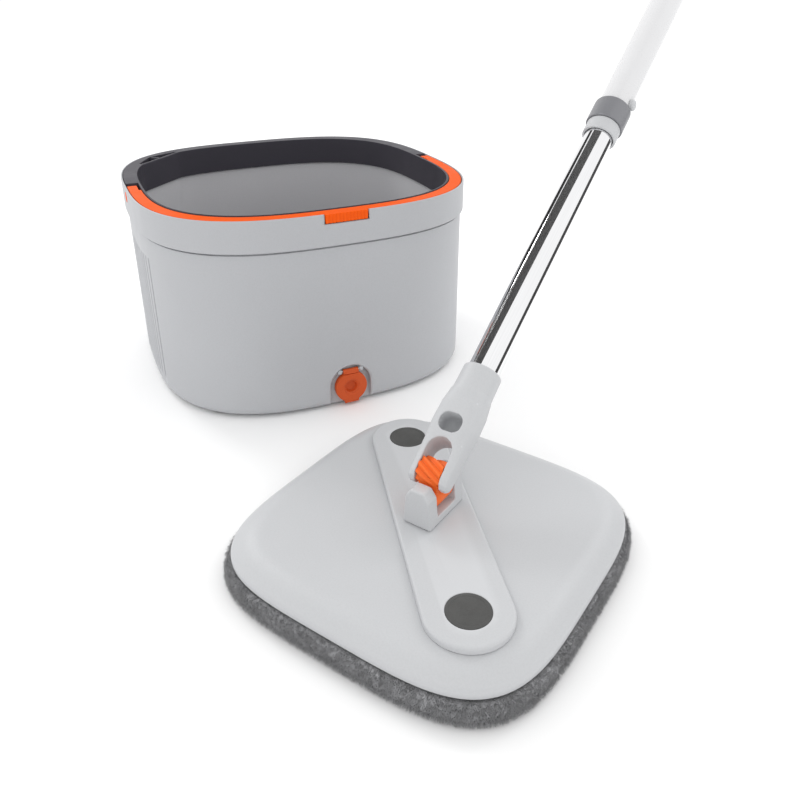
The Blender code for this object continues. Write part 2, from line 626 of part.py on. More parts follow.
def fork_socket(look, screw_look, pole):
    """A fork with two prongs below, a yoke with a pocket in its face, and the tube's socket above."""
    prong, tip = 0.0080, 0.0100
    stations = [(-tip, 0.0026, PRONG_OUTER - 0.0010, 6), (-tip + 0.0022, 0.0060, PRONG_OUTER, 6),
                (-tip + 0.0055, 0.0077, PRONG_OUTER, 6), (0.0, prong, PRONG_OUTER, 6),
                (0.0200, 0.0094, 0.0150, 5), (0.0320, 0.0116, 0.0158, 4), (0.0470, 0.0134, 0.0156, 3),
                (0.0570, 0.0142, 0.0147, 2.2), (0.0600, 0.0142, 0.0142, 2),
                (SOCKET_TOP - 0.0010, 0.0139, 0.0139, 2), (SOCKET_TOP, 0.0130, 0.0130, 2)]
    rings = []
    for z, half_x, half_y, power in stations:
        ring = plan(1.0, z, power, steps=28)
        rings.append([Vector((p.x * half_x, p.y * half_y, z)) for p in ring])
    socket = loft("fork_socket", rings, look, pole)
    window = box("window_cutter", (-0.03, -PRONG_INNER, -0.02), (0.03, PRONG_INNER, WINDOW_ARCH), parent=pole)
    window_top = turned("window_top_cutter", [(PRONG_INNER, -0.03), (PRONG_INNER, 0.03)], parent=pole,
                        matrix=facing("X", (0, 0, WINDOW_ARCH)))
    pocket = box("pocket_cutter", (-0.03, -0.0072, 0.0268), (0.0020, 0.0072, 0.0380), parent=pole)
    soften(pocket, 0.0030, 3)
    bore = turned("tube_bore_cutter", [(LOWER_TUBE_RADIUS + GAP, LOWER_TUBE_START - GAP),
                                       (LOWER_TUBE_RADIUS + GAP, 0.12)], parent=pole)
    pins = turned("prong_bore_cutter", [(PIN_HOLE, -0.0132), (PIN_HOLE, 0.0132)], parent=pole,
                  matrix=facing("Y"), steps=16)
    cut(socket, window, window_top, pocket, bore, pins, socket_screw_cutter("socket", pole))
    turned("socket_screw", [(0.0016, 0.0095), (0.0016, 0.0128), (0.0030, 0.0130), (0.0030, 0.0148),
                            (0.0024, 0.0154)], screw_look, pole, facing("X", (0, 0, SCREW_HEIGHT)), steps=16)


def socket_screw_cutter(name, pole):
    profile = [(0.0020, 0.0080), (0.0020, 0.0124), (0.0034, 0.0125), (0.0034, 0.0200)]
    return turned("screw_hole_cutter_" + name, profile, parent=pole, matrix=facing("X", (0, 0, SCREW_HEIGHT)),
                  steps=16)


# Pole

def lower_pole(chrome, guide_look, nut_look, pole):
    """The chrome tube and the slotted nut in its top that the twisted rod turns."""
    inner = LOWER_TUBE_RADIUS - TUBE_WALL
    lower = tube("lower_tube", LOWER_TUBE_RADIUS, inner, LOWER_TUBE_START, LOWER_TUBE_END, chrome, pole)
    cut(lower, socket_screw_cutter("tube", pole))
    tube("clutch_housing", inner - GAP, 0.0086, NUT_Z - 0.0120, NUT_Z + 0.0120, guide_look, pole)
    spin = frame("nut_frame", pole, Matrix.Translation((0, 0, NUT_Z)))
    nut = turned("drive_nut", [(0.0082, -0.0100), (0.0082, 0.0100)], nut_look, spin)
    cut(nut, box("nut_slot_cutter", (-0.0046, -0.0018, -0.02), (0.0046, 0.0018, 0.02), parent=spin),
        turned("nut_hollow_cutter", [(0.0064, -0.02), (0.0064, -0.0018)], parent=spin),
        turned("nut_top_hollow_cutter", [(0.0064, 0.0018), (0.0064, 0.02)], parent=spin))
    tube("clutch_cap", inner - GAP, 0.0052, NUT_Z + 0.0123, NUT_Z + 0.0158, guide_look, pole)


def twisted_rod(look, slide):
    """A flat steel strip twisted about the pole's axis; its twist is nil where the nut rests."""
    half_width, half_thickness, step = 0.0040, 0.0010, 0.0080
    count = round((ROD_END - ROD_START) / step)
    rings = []
    for index in range(count + 1):
        z = ROD_START + (ROD_END - ROD_START) * index / count
        angle = 2 * math.pi * (z - NUT_Z) / ROD_PITCH
        turn = Matrix.Rotation(angle, 3, "Z")
        rings.append([turn @ point for point in rectangle(half_width, half_thickness, z)])
    loft("twisted_rod", rings, look, slide, sharp=60)


def upper_pole(looks, slide):
    """The white tube that is pushed down over the chrome one, with its collar, lock, grip and top cap."""
    inner = UPPER_TUBE_RADIUS - TUBE_WALL
    tube("upper_tube", UPPER_TUBE_RADIUS, inner, LOCK_START + GAP, UPPER_TUBE_END, looks["white"], slide)
    tube("rod_anchor", inner - GAP, 0.0015, ROD_END + GAP, ROD_END + 0.0180, looks["dark"], slide)
    bore = LOWER_TUBE_RADIUS + 0.0005
    collar = [(bore, COLLAR_START), (0.0128, COLLAR_START), (0.0137, COLLAR_START + 0.0010),
              (0.0137, LOCK_START - GAP), (bore, LOCK_START - GAP)]
    turned("slide_collar", collar, looks["grey"], slide, closed=True)
    detent = turned("lock_detent", [(0.0045, 0.0131), (0.0045, 0.0150), (0.0034, 0.0164)], looks["grey"],
                    slide, facing("-Y", (0, 0, LOCK_END + 0.0062)), steps=24)
    cut(detent, turned("detent_seat_cutter", [(UPPER_TUBE_RADIUS + GAP, 0.3), (UPPER_TUBE_RADIUS + GAP, 0.4)],
                       parent=slide))
    ring = frame("lock_frame", slide, Matrix.Translation((0, 0, LOCK_START)))
    height = LOCK_END - LOCK_START
    turned("lock_ring", [(0.0131, 0.0), (0.0144, 0.0), (0.0151, 0.0009), (0.0151, height - 0.0009),
                         (0.0144, height), (0.0131, height)], looks["dark"], ring, closed=True)
    grip_rings = []
    for index in range(5):
        z = GRIP_START + 0.0265 * index
        grip_rings += [(0.0148, z), (0.0156, z + 0.0030), (0.0156, z + 0.0210), (0.0148, z + 0.0240)]
    grip_top = grip_rings[-1][1]
    grip_rings += [(UPPER_TUBE_RADIUS + GAP, grip_top), (UPPER_TUBE_RADIUS + GAP, GRIP_START)]
    turned("grip", grip_rings, looks["dark"], slide, closed=True)
    hang_cap(looks["grey"], slide, grip_top)


def hang_cap(look, slide, grip_top):
    """The top plug, flattened into an eye to hang the mop by."""
    base = max(grip_top, UPPER_TUBE_END) + GAP
    stations = [(0.0, 0.0148, 0.0148, 2), (0.0100, 0.0150, 0.0125, 2.2), (0.0220, 0.0160, 0.0060, 3),
                (0.0420, 0.0150, 0.0050, 3), (0.0480, 0.0120, 0.0045, 3), (0.0510, 0.0060, 0.0035, 3)]
    rings = []
    for rise, half_x, half_y, power in stations:
        ring = plan(1.0, 0.0, power, steps=24)
        rings.append([Vector((p.x * half_x, p.y * half_y, base + rise)) for p in ring])
    cap = loft("hang_cap", rings, look, slide)
    cut(cap, turned("hang_eye_cutter", [(0.0095, -0.03), (0.0095, 0.03)], parent=slide,
                    matrix=facing("Y", (0, 0, base + 0.0335))))


def build():
    for item in list(bpy.data.objects):
        bpy.data.objects.remove(item)
    looks = {
        "grey": material("light_grey_plastic", (0.50, 0.51, 0.53), 0.42),
        "plate": material("pale_grey_plastic", (0.62, 0.63, 0.64), 0.35),
        "basin": material("mid_grey_plastic", (0.33, 0.33, 0.34), 0.45),
        "dark": material("dark_grey_plastic", (0.045, 0.044, 0.052), 0.35),
        "orange": material("orange_plastic", (1.00, 0.15, 0.022), 0.40),
        "white": material("white_enamel", (0.86, 0.86, 0.86), 0.25),
        "chrome": material("chrome", (0.80, 0.80, 0.81), 0.06, 1.0),
        "steel": material("steel", (0.60, 0.60, 0.61), 0.25, 1.0),
        "bush": material("bearing_plastic", (0.80, 0.79, 0.74), 0.40),
        "rubber": material("grey_rubber", (0.085, 0.085, 0.082), 0.75),
        "fabric": material("grey_microfibre", (0.16, 0.165, 0.17), 1.0),
    }
    bucket_shell(looks["grey"])
    rim_collar(looks["grey"])
    inner_frame(looks["dark"])
    wash_basin(looks["basin"])
    spin = spindle_parts(looks["basin"], looks["steel"], looks["bush"])
    spin_plate(looks["dark"], looks["orange"], spin)
    bail(looks["orange"])
    drain_plug(looks["orange"], looks["steel"], looks["rubber"])
    feet(looks["rubber"])

    head = frame("mop_frame", matrix=Matrix.Translation((*MOP_CENTRE, 0)) @ Matrix.Rotation(MOP_TURN, 4, "Z"))
    mop_pad(looks["fabric"], head)
    hook_strips(looks["rubber"], head)
    base_plate(looks["grey"], looks["steel"], head)
    top_cover(looks["plate"], head)
    centre_bar(looks["plate"], looks["rubber"], looks["steel"], head)
    yoke_bracket(looks["plate"], head)
    side_frame = frame("side_tilt_frame", head, Matrix.Translation((0, 0, LOWER_HINGE_Z)) @
                       Matrix.Rotation(SIDE_TILT, 4, "X"))
    knuckle(looks["orange"], looks["steel"], side_frame)
    pole = frame("pole_frame", side_frame, Matrix.Translation((0, 0, HINGE_RISE)) @
                 Matrix.Rotation(LEAN, 4, "Y"))
    fork_socket(looks["grey"], looks["steel"], pole)
    lower_pole(looks["chrome"], looks["bush"], looks["bush"], pole)
    slide = frame("slide_frame", pole)
    twisted_rod(looks["steel"], slide)
    upper_pole(looks, slide)


build()
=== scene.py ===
"""The finished look of a square bucket with a spin plate, and the flat mop that stands beside it.

Metres, +Z up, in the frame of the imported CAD. Each visible CAD solid is replaced by a finer piece that rides
on the same body; the hidden internals keep their CAD meshes and get a procedural material.
"""

import json
import math
import random

import bmesh
import bpy
from mathutils import Matrix, Vector, noise


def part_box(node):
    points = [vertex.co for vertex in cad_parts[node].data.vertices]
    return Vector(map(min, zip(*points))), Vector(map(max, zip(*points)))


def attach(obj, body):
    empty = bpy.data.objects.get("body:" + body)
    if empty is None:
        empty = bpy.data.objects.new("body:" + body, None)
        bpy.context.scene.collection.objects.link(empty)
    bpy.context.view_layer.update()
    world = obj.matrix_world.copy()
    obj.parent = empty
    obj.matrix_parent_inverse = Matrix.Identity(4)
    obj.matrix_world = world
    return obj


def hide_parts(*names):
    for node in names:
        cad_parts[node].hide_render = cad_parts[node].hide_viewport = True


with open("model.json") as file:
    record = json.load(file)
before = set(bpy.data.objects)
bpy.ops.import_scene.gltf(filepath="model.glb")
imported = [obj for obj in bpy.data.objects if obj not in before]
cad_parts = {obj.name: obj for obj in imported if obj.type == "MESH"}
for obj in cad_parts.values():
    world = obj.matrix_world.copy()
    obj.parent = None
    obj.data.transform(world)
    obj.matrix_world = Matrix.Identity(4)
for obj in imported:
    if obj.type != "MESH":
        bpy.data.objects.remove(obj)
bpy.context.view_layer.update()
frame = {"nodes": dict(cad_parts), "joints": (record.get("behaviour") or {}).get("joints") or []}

# Bucket: half widths are of the rounded-square plan, measured to its flat sides
RIM_HALF = 0.1550
RIM_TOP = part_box("inner_frame")[1][2]
PLAN_POWER = 2.93
COLLAR_HEIGHT = 0.0277
WALL = 0.0025
FOOT_LIFT = 0.0020
GAP = 0.0003
SHELL_HALF = RIM_HALF - 0.0022
SHELL_TOP = RIM_TOP - 0.0245
INNER_HALF = 0.1400
DUCT_DISTANCE = 0.1505
NO_CLIP = 0.2000
BASIN_FLOOR = 0.0400
SKIRT_BOTTOM = 0.1550
FLANGE_BOTTOM = RIM_TOP - 0.0090
CHANNEL_DEPTH = 0.0064
BAIL_PIVOT_Z = RIM_TOP - 0.0090
TAB_HALF = 0.0185
PLUG_Z = 0.0185
PLUG_RADIUS = 0.0150
PLUG_HINGE_Z = 0.0345
RECESS_Y = -SHELL_HALF + 0.0045
PLUG_HINGE_Y = RECESS_Y - 0.0027
SPIN_RADIUS = 0.1220
SPIN_Z = 0.0500

# Mop head and universal joint
PAD_HALF = 0.1168
PLATE_HALF = 0.1125
PLATE_POWER = 4.09
PAD_TOP = 0.0157
NAP = 0.0012
PLATE_TOP = 0.0300
BAR_TOP = 0.0345
BAR_HALF_WIDTH = 0.0271
CAP_DISTANCE = 0.0899
CAP_RADIUS = 0.0137
LOWER_HINGE_Z = 0.0500
HINGE_RISE = 0.0150
PIN_HOLE = 0.0028
EAR_INNER = 0.0110
EAR_OUTER = 0.0208
PRONG_INNER = 0.0093
PRONG_OUTER = 0.0145

# Pole, measured along its own axis from the upper hinge
WINDOW_ARCH = 0.0127
SCREW_HEIGHT = 0.0680
SOCKET_TOP = 0.0780
LOWER_TUBE_RADIUS = 0.0113
UPPER_TUBE_RADIUS = 0.0127
TUBE_WALL = 0.0008
LOWER_TUBE_START = 0.0520
LOWER_TUBE_END = 0.6400
COLLAR_START = 0.3000
LOCK_START = 0.3118
LOCK_END = 0.3325
UPPER_TUBE_END = 1.1000
GRIP_START = 0.9700

# Mesh detail
PLAN_STEPS = 256
ROUND_STEPS = 72
HOLE_STEPS = 32
SHARP_ANGLE = math.radians(32)
FIBRE_COUNT = 48000


# Places of the moving groups, from the frame's joints

def axes(origin, x, y, z):
    return Matrix.Translation(origin) @ Matrix((x, y, z)).transposed().to_4x4()


JOINTS = {joint["name"]: joint for joint in frame["joints"]}
HEAD_X = Vector(JOINTS["side_tilt"]["axis"])
POLE_Y = Vector(JOINTS["pole_lean"]["axis"])
POLE_Z = Vector(JOINTS["pole_stroke"]["axis"])
UP = Vector((0, 0, 1))
HINGE = Vector(JOINTS["side_tilt"]["pos_m"])
POLE_ORIGIN = Vector(JOINTS["pole_lean"]["pos_m"])
HEAD = axes((HINGE.x, HINGE.y, 0), HEAD_X, UP.cross(HEAD_X), UP)
KNUCKLE = axes(HINGE, HEAD_X, POLE_Y, HEAD_X.cross(POLE_Y))
POLE = axes(POLE_ORIGIN, POLE_Y.cross(POLE_Z), POLE_Y, POLE_Z)
BAIL = Matrix.Translation((0, 0, BAIL_PIVOT_Z))
PLUG = Matrix.Translation((0, PLUG_HINGE_Y, PLUG_HINGE_Z))
BUCKET = Matrix.Identity(4)


# Outlines and profiles

def plan(half, z, power=PLAN_POWER, clip=math.inf, steps=PLAN_STEPS):
    """A rounded-square ring at height z; clip cuts its back left corner off at that distance."""
    ring = []
    for index in range(steps):
        angle = 2 * math.pi * (index + 0.5) / steps
        c, s = math.cos(angle), math.sin(angle)
        reach = half / (abs(c) ** power + abs(s) ** power) ** (1 / power)
        towards_corner = (s - c) / math.sqrt(2)
        if towards_corner > 0:
            reach = min(reach, clip / towards_corner)
        ring.append(Vector((reach * c, reach * s, z)))
    return ring


def circle(radius, z, steps=ROUND_STEPS):
    angles = [2 * math.pi * index / steps for index in range(steps)]
    return [Vector((radius * math.cos(a), radius * math.sin(a), z)) for a in angles]


def stadium(half_length, half_width, z):
    """A long outline with round ends, along X."""
    steps = 40
    ring = []
    for side, start in ((1, -math.pi / 2), (-1, math.pi / 2)):
        for index in range(steps + 1):
            angle = start + math.pi * index / steps
            ring.append(Vector((side * half_length + half_width * math.cos(angle),
                                half_width * math.sin(angle), z)))
    return ring


def rounded(corners, closed=False, longest=0.01, steps=5):
    """Turn corners (values..., reach) into points: each corner is rounded off over its reach."""
    places = [Vector(corner[:-1]) for corner in corners]
    points = []
    for index, (here, corner) in enumerate(zip(places, corners)):
        ends = index in (0, len(corners) - 1) and not closed
        before = places[index - 1] - here
        after = places[(index + 1) % len(places)] - here
        reach = 0 if ends else min(corner[-1], before.length * 0.49, after.length * 0.49)
        if reach == 0:
            points.append(here)
            continue
        start, end = here + before.normalized() * reach, here + after.normalized() * reach
        for step in range(steps + 1):
            t = step / steps
            points.append(start * (1 - t) ** 2 + here * 2 * t * (1 - t) + end * t ** 2)
    filled = []
    following = points[1:] + (points[:1] if closed else [])
    for low, high in zip(points, following):
        parts = max(1, math.ceil((high - low).length / longest))
        filled += [low.lerp(high, part / parts) for part in range(parts)]
    return filled if closed else filled + [points[-1]]


# Meshes

def new_piece(name, mesh):
    piece = bpy.data.objects.new(name, mesh)
    bpy.context.scene.collection.objects.link(piece)
    return piece


def loft(name, rings, closed=False, place=BUCKET):
    """Join rings of points into a solid: capped at both ends, or closed on itself like a hoop."""
    shape = bmesh.new()
    loops = [[shape.verts.new(place @ point) for point in ring] for ring in rings]
    pairs = list(zip(loops, loops[1:]))
    if closed:
        pairs.append((loops[-1], loops[0]))
    for low, high in pairs:
        for index in range(len(low)):
            after = (index + 1) % len(low)
            shape.faces.new((low[index], low[after], high[after], high[index]))
    if not closed:
        shape.faces.new(list(reversed(loops[0])))
        shape.faces.new(loops[-1])
    bmesh.ops.recalc_face_normals(shape, faces=shape.faces)
    mesh = bpy.data.meshes.new(name)
    shape.to_mesh(mesh)
    shape.free()
    mesh.shade_smooth()
    mesh.set_sharp_from_angle(angle=SHARP_ANGLE)
    return new_piece(name, mesh)


def turned(name, corners, closed=False, place=BUCKET, steps=ROUND_STEPS):
    """A solid turned about Z from (radius, z, reach) corners."""
    return loft(name, [circle(p[0], p[1], steps) for p in rounded(corners, closed)], closed, place)


def rod(name, radius, low, high, place=BUCKET, steps=ROUND_STEPS):
    """A straight round bar along Z, most often used as a drill."""
    return turned(name, [(radius, low, 0), (radius, high, 0)], place=place, steps=steps)


def box(name, low, high, place=BUCKET):
    outline = ((low[0], low[1]), (high[0], low[1]), (high[0], high[1]), (low[0], high[1]))
    rings = [[Vector((x, y, z)) for x, y in outline] for z in (low[2], high[2])]
    return loft(name, rings, place=place)


def facing(axis, place=(0.0, 0.0, 0.0)):
    """Turn a solid's Z to the named axis and move it to a place."""
    turns = {"X": Matrix.Rotation(math.pi / 2, 4, "Y"), "Y": Matrix.Rotation(-math.pi / 2, 4, "X"),
             "Z": Matrix.Identity(4), "-Y": Matrix.Rotation(math.pi / 2, 4, "X"),
             "-X": Matrix.Rotation(-math.pi / 2, 4, "Y")}
    return Matrix.Translation(place) @ turns[axis]


def apply_modifiers(piece):
    bpy.context.view_layer.update()
    shown = piece.evaluated_get(bpy.context.evaluated_depsgraph_get())
    mesh = bpy.data.meshes.new_from_object(shown)
    piece.modifiers.clear()
    piece.data = mesh


def combine(target, tools, operation):
    for tool in tools:
        change = target.modifiers.new("combine", "BOOLEAN")
        change.operation = operation
        change.solver = "EXACT"
        change.object = tool
    apply_modifiers(target)
    for tool in tools:
        bpy.data.objects.remove(tool)


def cut(target, *tools):
    combine(target, tools, "DIFFERENCE")


def join(target, *tools):
    combine(target, tools, "UNION")


def bevelled(target, width, segments=3, angle=40):
    edge = target.modifiers.new("edge", "BEVEL")
    edge.width = width
    edge.segments = segments
    edge.limit_method = "ANGLE"
    edge.angle_limit = math.radians(angle)
    apply_modifiers(target)
    return target


def moulded(target, voxel, rounds):
    """Melt a combined solid into one skin whose edges all have a moulding's small radius."""
    skin = target.modifiers.new("skin", "REMESH")
    skin.mode = "VOXEL"
    skin.voxel_size = voxel
    soften = target.modifiers.new("soften", "SMOOTH")
    soften.factor = 0.5
    soften.iterations = rounds
    apply_modifiers(target)
    target.data.shade_smooth()


def even_shading(target):
    """Let the large faces decide the shading, so small roundings don't tint them."""
    normals = target.modifiers.new("even_shading", "WEIGHTED_NORMAL")
    normals.keep_sharp = True
    normals.weight = 80


# Material nodes

def new_material(name):
    result = bpy.data.materials.new(name)
    result.use_nodes = True
    tree = result.node_tree
    return result, tree, tree.nodes["Principled BSDF"]


def coordinates(tree, scale=(1, 1, 1)):
    source = tree.nodes.new("ShaderNodeTexCoord").outputs["Object"]
    mapping = tree.nodes.new("ShaderNodeMapping")
    mapping.inputs["Scale"].default_value = scale
    tree.links.new(source, mapping.inputs["Vector"])
    return mapping.outputs["Vector"]


def speckle(tree, vector, scale, detail=2.0, roughness=0.5):
    texture = tree.nodes.new("ShaderNodeTexNoise")
    texture.inputs["Scale"].default_value = scale
    texture.inputs["Detail"].default_value = detail
    texture.inputs["Roughness"].default_value = roughness
    tree.links.new(vector, texture.inputs["Vector"])
    return texture.outputs["Fac"]


def remap(tree, value, low, high, to_low, to_high):
    node = tree.nodes.new("ShaderNodeMapRange")
    for name, number in (("From Min", low), ("From Max", high), ("To Min", to_low), ("To Max", to_high)):
        node.inputs[name].default_value = number
    tree.links.new(value, node.inputs["Value"])
    return node.outputs["Result"]


def mix_colour(tree, factor, first, second):
    node = tree.nodes.new("ShaderNodeMix")
    node.data_type = "RGBA"
    tree.links.new(factor, node.inputs[0])
    for socket, colour in ((node.inputs[6], first), (node.inputs[7], second)):
        if isinstance(colour, tuple):
            socket.default_value = (*colour, 1.0)
        else:
            tree.links.new(colour, socket)
    return node.outputs[2]


def bump(tree, shader, heights):
    """Chain (height socket, distance) pairs into the shader's normal."""
    previous = None
    for height, distance in heights:
        node = tree.nodes.new("ShaderNodeBump")
        node.inputs["Strength"].default_value = 1.0
        node.inputs["Distance"].default_value = distance
        tree.links.new(height, node.inputs["Height"])
        if previous:
            tree.links.new(previous, node.inputs["Normal"])
        previous = node.outputs["Normal"]
    tree.links.new(previous, shader.inputs["Normal"])


def edge_mask(tree, low, high):
    pointiness = tree.nodes.new("ShaderNodeNewGeometry").outputs["Pointiness"]
    return remap(tree, pointiness, low, high, 0.0, 1.0)


def scaled(colour, factor):
    return tuple(min(1.0, channel * factor) for channel in colour)


def plastic(name, colour, roughness, grain=0.00003, drift=0.03, edge_lightening=1.10, hollow_shade=0.72, specular=0.5):
    """Moulded plastic: slow drifts of tone, pigment flecks, a fine grain, lighter convex edges and painted
    shade in its hollows.
    """
    result, tree, shader = new_material(name)
    shader.inputs["Specular IOR Level"].default_value = specular
    place = coordinates(tree)
    clouds = speckle(tree, place, 11, 3)
    drifting = mix_colour(tree, clouds, scaled(colour, 1 - drift), scaled(colour, 1 + drift))
    flecks = remap(tree, speckle(tree, place, 900, 3, 0.7), 0.42, 0.70, 0.0, 0.30)
    flecked = mix_colour(tree, flecks, drifting, scaled(colour, 0.84))
    # convex edges, found by high pointiness, are made lighter
    lighter_edges = mix_colour(tree, edge_mask(tree, 0.52, 0.60), flecked, scaled(colour, edge_lightening))
    # painted shade: hollows and grooves, found by low pointiness, are darkened
    shaded_hollows = mix_colour(tree, edge_mask(tree, 0.49, 0.42), lighter_edges, scaled(colour, hollow_shade))
    tree.links.new(shaded_hollows, shader.inputs["Base Color"])
    scuffs = speckle(tree, coordinates(tree, (1, 1, 0.25)), 55, 5, 0.6)
    gloss = remap(tree, scuffs, 0.3, 0.7, roughness - 0.05, roughness + 0.06)
    tree.links.new(gloss, shader.inputs["Roughness"])
    bump(tree, shader, ((speckle(tree, place, 2400, 2), grain), (speckle(tree, place, 60, 2), grain * 2.5)))
    return result


def polished_metal(name, colour, roughness, marks=0.05):
    """Drawn and polished metal: fine lines along its length, faint smudges and hairline scratches."""
    result, tree, shader = new_material(name)
    shader.inputs["Metallic"].default_value = 1.0
    lines = speckle(tree, coordinates(tree, (1, 1, 0.01)), 1500, 3, 0.6)
    smudges = speckle(tree, coordinates(tree, (1, 1, 0.35)), 38, 4, 0.6)
    drawn = remap(tree, lines, 0.3, 0.7, 0.0, 1.0)
    toned = mix_colour(tree, drawn, scaled(colour, 0.96), scaled(colour, 1.02))
    tree.links.new(mix_colour(tree, remap(tree, smudges, 0.45, 0.75, 0.0, 0.35), toned, scaled(colour, 0.90)),
                   shader.inputs["Base Color"])
    tree.links.new(remap(tree, smudges, 0.35, 0.75, roughness, roughness + marks), shader.inputs["Roughness"])
    bump(tree, shader, ((lines, 0.0000015),))
    return result


def enamel(name, colour):
    """Glossy paint on a tube, with a faint orange-peel skin."""
    result, tree, shader = new_material(name)
    shader.inputs["Coat Weight"].default_value = 0.4
    shader.inputs["Coat Roughness"].default_value = 0.08
    place = coordinates(tree)
    tree.links.new(mix_colour(tree, speckle(tree, place, 30, 3), scaled(colour, 0.97), colour),
                   shader.inputs["Base Color"])
    tree.links.new(remap(tree, speckle(tree, place, 80, 4), 0.3, 0.7, 0.22, 0.34), shader.inputs["Roughness"])
    bump(tree, shader, ((speckle(tree, place, 420, 2), 0.00004),))
    return result


def microfibre(name, dark, light):
    """Brushed microfibre: tone broken up by clumps and single fibres, with a soft sheen."""
    result, tree, shader = new_material(name)
    shader.inputs["Roughness"].default_value = 0.95
    shader.inputs["Sheen Weight"].default_value = 0.35
    shader.inputs["Sheen Roughness"].default_value = 0.5
    shader.inputs["Specular IOR Level"].default_value = 0.15
    place = coordinates(tree)
    fibres = speckle(tree, place, 1500, 4, 0.7)
    clumps = speckle(tree, place, 260, 3)
    toned = mix_colour(tree, remap(tree, fibres, 0.3, 0.7, 0.0, 1.0), dark, light)
    tree.links.new(mix_colour(tree, remap(tree, clumps, 0.35, 0.65, 0.0, 0.25), toned, scaled(dark, 0.8)),
                   shader.inputs["Base Color"])
    bump(tree, shader, ((clumps, 0.0008), (fibres, 0.0003)))
    return result


def rubber(name, colour):
    result, tree, shader = new_material(name)
    place = coordinates(tree)
    dusty = remap(tree, speckle(tree, place, 45, 4), 0.45, 0.75, 0.0, 0.5)
    flecked = mix_colour(tree, speckle(tree, place, 1300, 3), scaled(colour, 0.8), scaled(colour, 1.2))
    tree.links.new(mix_colour(tree, dusty, flecked, scaled(colour, 1.5)), shader.inputs["Base Color"])
    tree.links.new(remap(tree, speckle(tree, place, 70, 3), 0.3, 0.7, 0.68, 0.86), shader.inputs["Roughness"])
    bump(tree, shader, ((speckle(tree, place, 1600, 3), 0.00006),))
    return result


# Some looks darken their hollows harder as painted shade: the bucket's flutes, the plug and the knuckle's
# ribs.
LIGHT_GREY = plastic("light_grey_plastic_look", (0.462, 0.470, 0.488), 0.50, hollow_shade=0.55, specular=0.35)
PANEL_GREY = plastic("pale_grey_plastic_look", (0.545, 0.553, 0.566), 0.46, grain=0.00002, specular=0.38)
MID_GREY = plastic("mid_grey_plastic_look", (0.560, 0.560, 0.578), 0.50)
DARK_GREY = plastic("dark_grey_plastic_look", (0.056, 0.053, 0.065), 0.40, grain=0.00002, edge_lightening=1.2,
                    specular=0.10)
LOCK_GREY = plastic("lock_grey_plastic_look", (0.205, 0.207, 0.222), 0.34, edge_lightening=1.3)
ORANGE = plastic("orange_plastic_look", (0.86, 0.106, 0.008), 0.50, edge_lightening=1.08, specular=0.06)
PLUG_ORANGE = plastic("plug_orange_plastic_look", (0.60, 0.088, 0.018), 0.46, hollow_shade=0.50, specular=0.25)
KNUCKLE_ORANGE = plastic("knuckle_orange_plastic_look", (0.90, 0.165, 0.030), 0.44, hollow_shade=0.30,
                         specular=0.20)
BEARING = plastic("bearing_plastic_look", (0.80, 0.79, 0.74), 0.40)
CHROME = polished_metal("chrome_look", (0.86, 0.86, 0.87), 0.035)
STEEL = polished_metal("steel_look", (0.60, 0.60, 0.61), 0.24, 0.12)
WHITE = enamel("white_enamel_look", (0.72, 0.72, 0.73))
RUBBER = rubber("grey_rubber_look", (0.070, 0.070, 0.068))
PLUSH = microfibre("grey_microfibre_look", (0.210, 0.210, 0.219), (0.470, 0.470, 0.485))
TAPE = microfibre("grey_binding_look", (0.120, 0.122, 0.125), (0.180, 0.182, 0.186))
HOOKS = rubber("grey_hooks_look", (0.060, 0.060, 0.062))


def finish_piece(piece, look, body, nodes, place=BUCKET, weighted=True):
    """Give a piece its material and its place, and let it stand for its CAD nodes.

    The pole's pieces keep their own axes, because the lines in their metal run along them.
    """
    piece.data.materials.clear()
    piece.data.materials.append(look)
    if weighted:
        even_shading(piece)
    if place is POLE:
        piece.matrix_world = place
    else:
        piece.data.transform(place)
    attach(piece, body)
    if nodes:
        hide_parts(*nodes)
    return piece


# Bucket

def bucket_shell():
    floor = FOOT_LIFT + 0.0028
    corners = [(SHELL_HALF - 0.030, FOOT_LIFT, 0), (SHELL_HALF, FOOT_LIFT, 0.0085),
               (SHELL_HALF, SHELL_TOP - 0.0052, 0.0003), (SHELL_HALF - 0.0014, SHELL_TOP - 0.0048, 0.0002),
               (SHELL_HALF - 0.0014, SHELL_TOP, 0.0003), (SHELL_HALF - WALL, SHELL_TOP, 0.0004),
               (SHELL_HALF - WALL, floor, 0.0080), (SHELL_HALF - 0.030, floor, 0)]
    shell = loft("bucket_shell_skin", [plan(half, z) for half, z in rounded(corners, longest=0.006)])
    join(shell, upright(arch(0.0220, 0.0420, FOOT_LIFT + 0.0010), RECESS_Y - 0.0003, RECESS_Y + 0.0027),
         upright(arch(0.0218, 0.0418, FOOT_LIFT + 0.0064), -SHELL_HALF + 0.0015, RECESS_Y + 0.0010))
    cut(shell, recess_cutter(), rod("hole", 0.0086, -0.03, 0.03, facing("Y", (0, -SHELL_HALF, PLUG_Z))))
    join(shell, *plug_pin_keepers())
    cut(shell, *flute_cutters())
    finish_piece(shell, LIGHT_GREY, "bucket", ["bucket_shell"])


def arch(radius, height, low):
    """A round-topped outline in X and height, standing on low."""
    steps = 40
    angles = [math.pi * (1 - index / steps) for index in range(steps + 1)]
    top = [(radius * math.cos(a), height - radius + radius * math.sin(a)) for a in angles]
    return [(-radius, low)] + top + [(radius, low)]


def upright(outline, y_front, y_back):
    """Stand an (x, z) outline up and give it depth along Y."""
    return loft("upright", [[Vector((x, y, z)) for x, z in outline] for y in (y_front, y_back)])


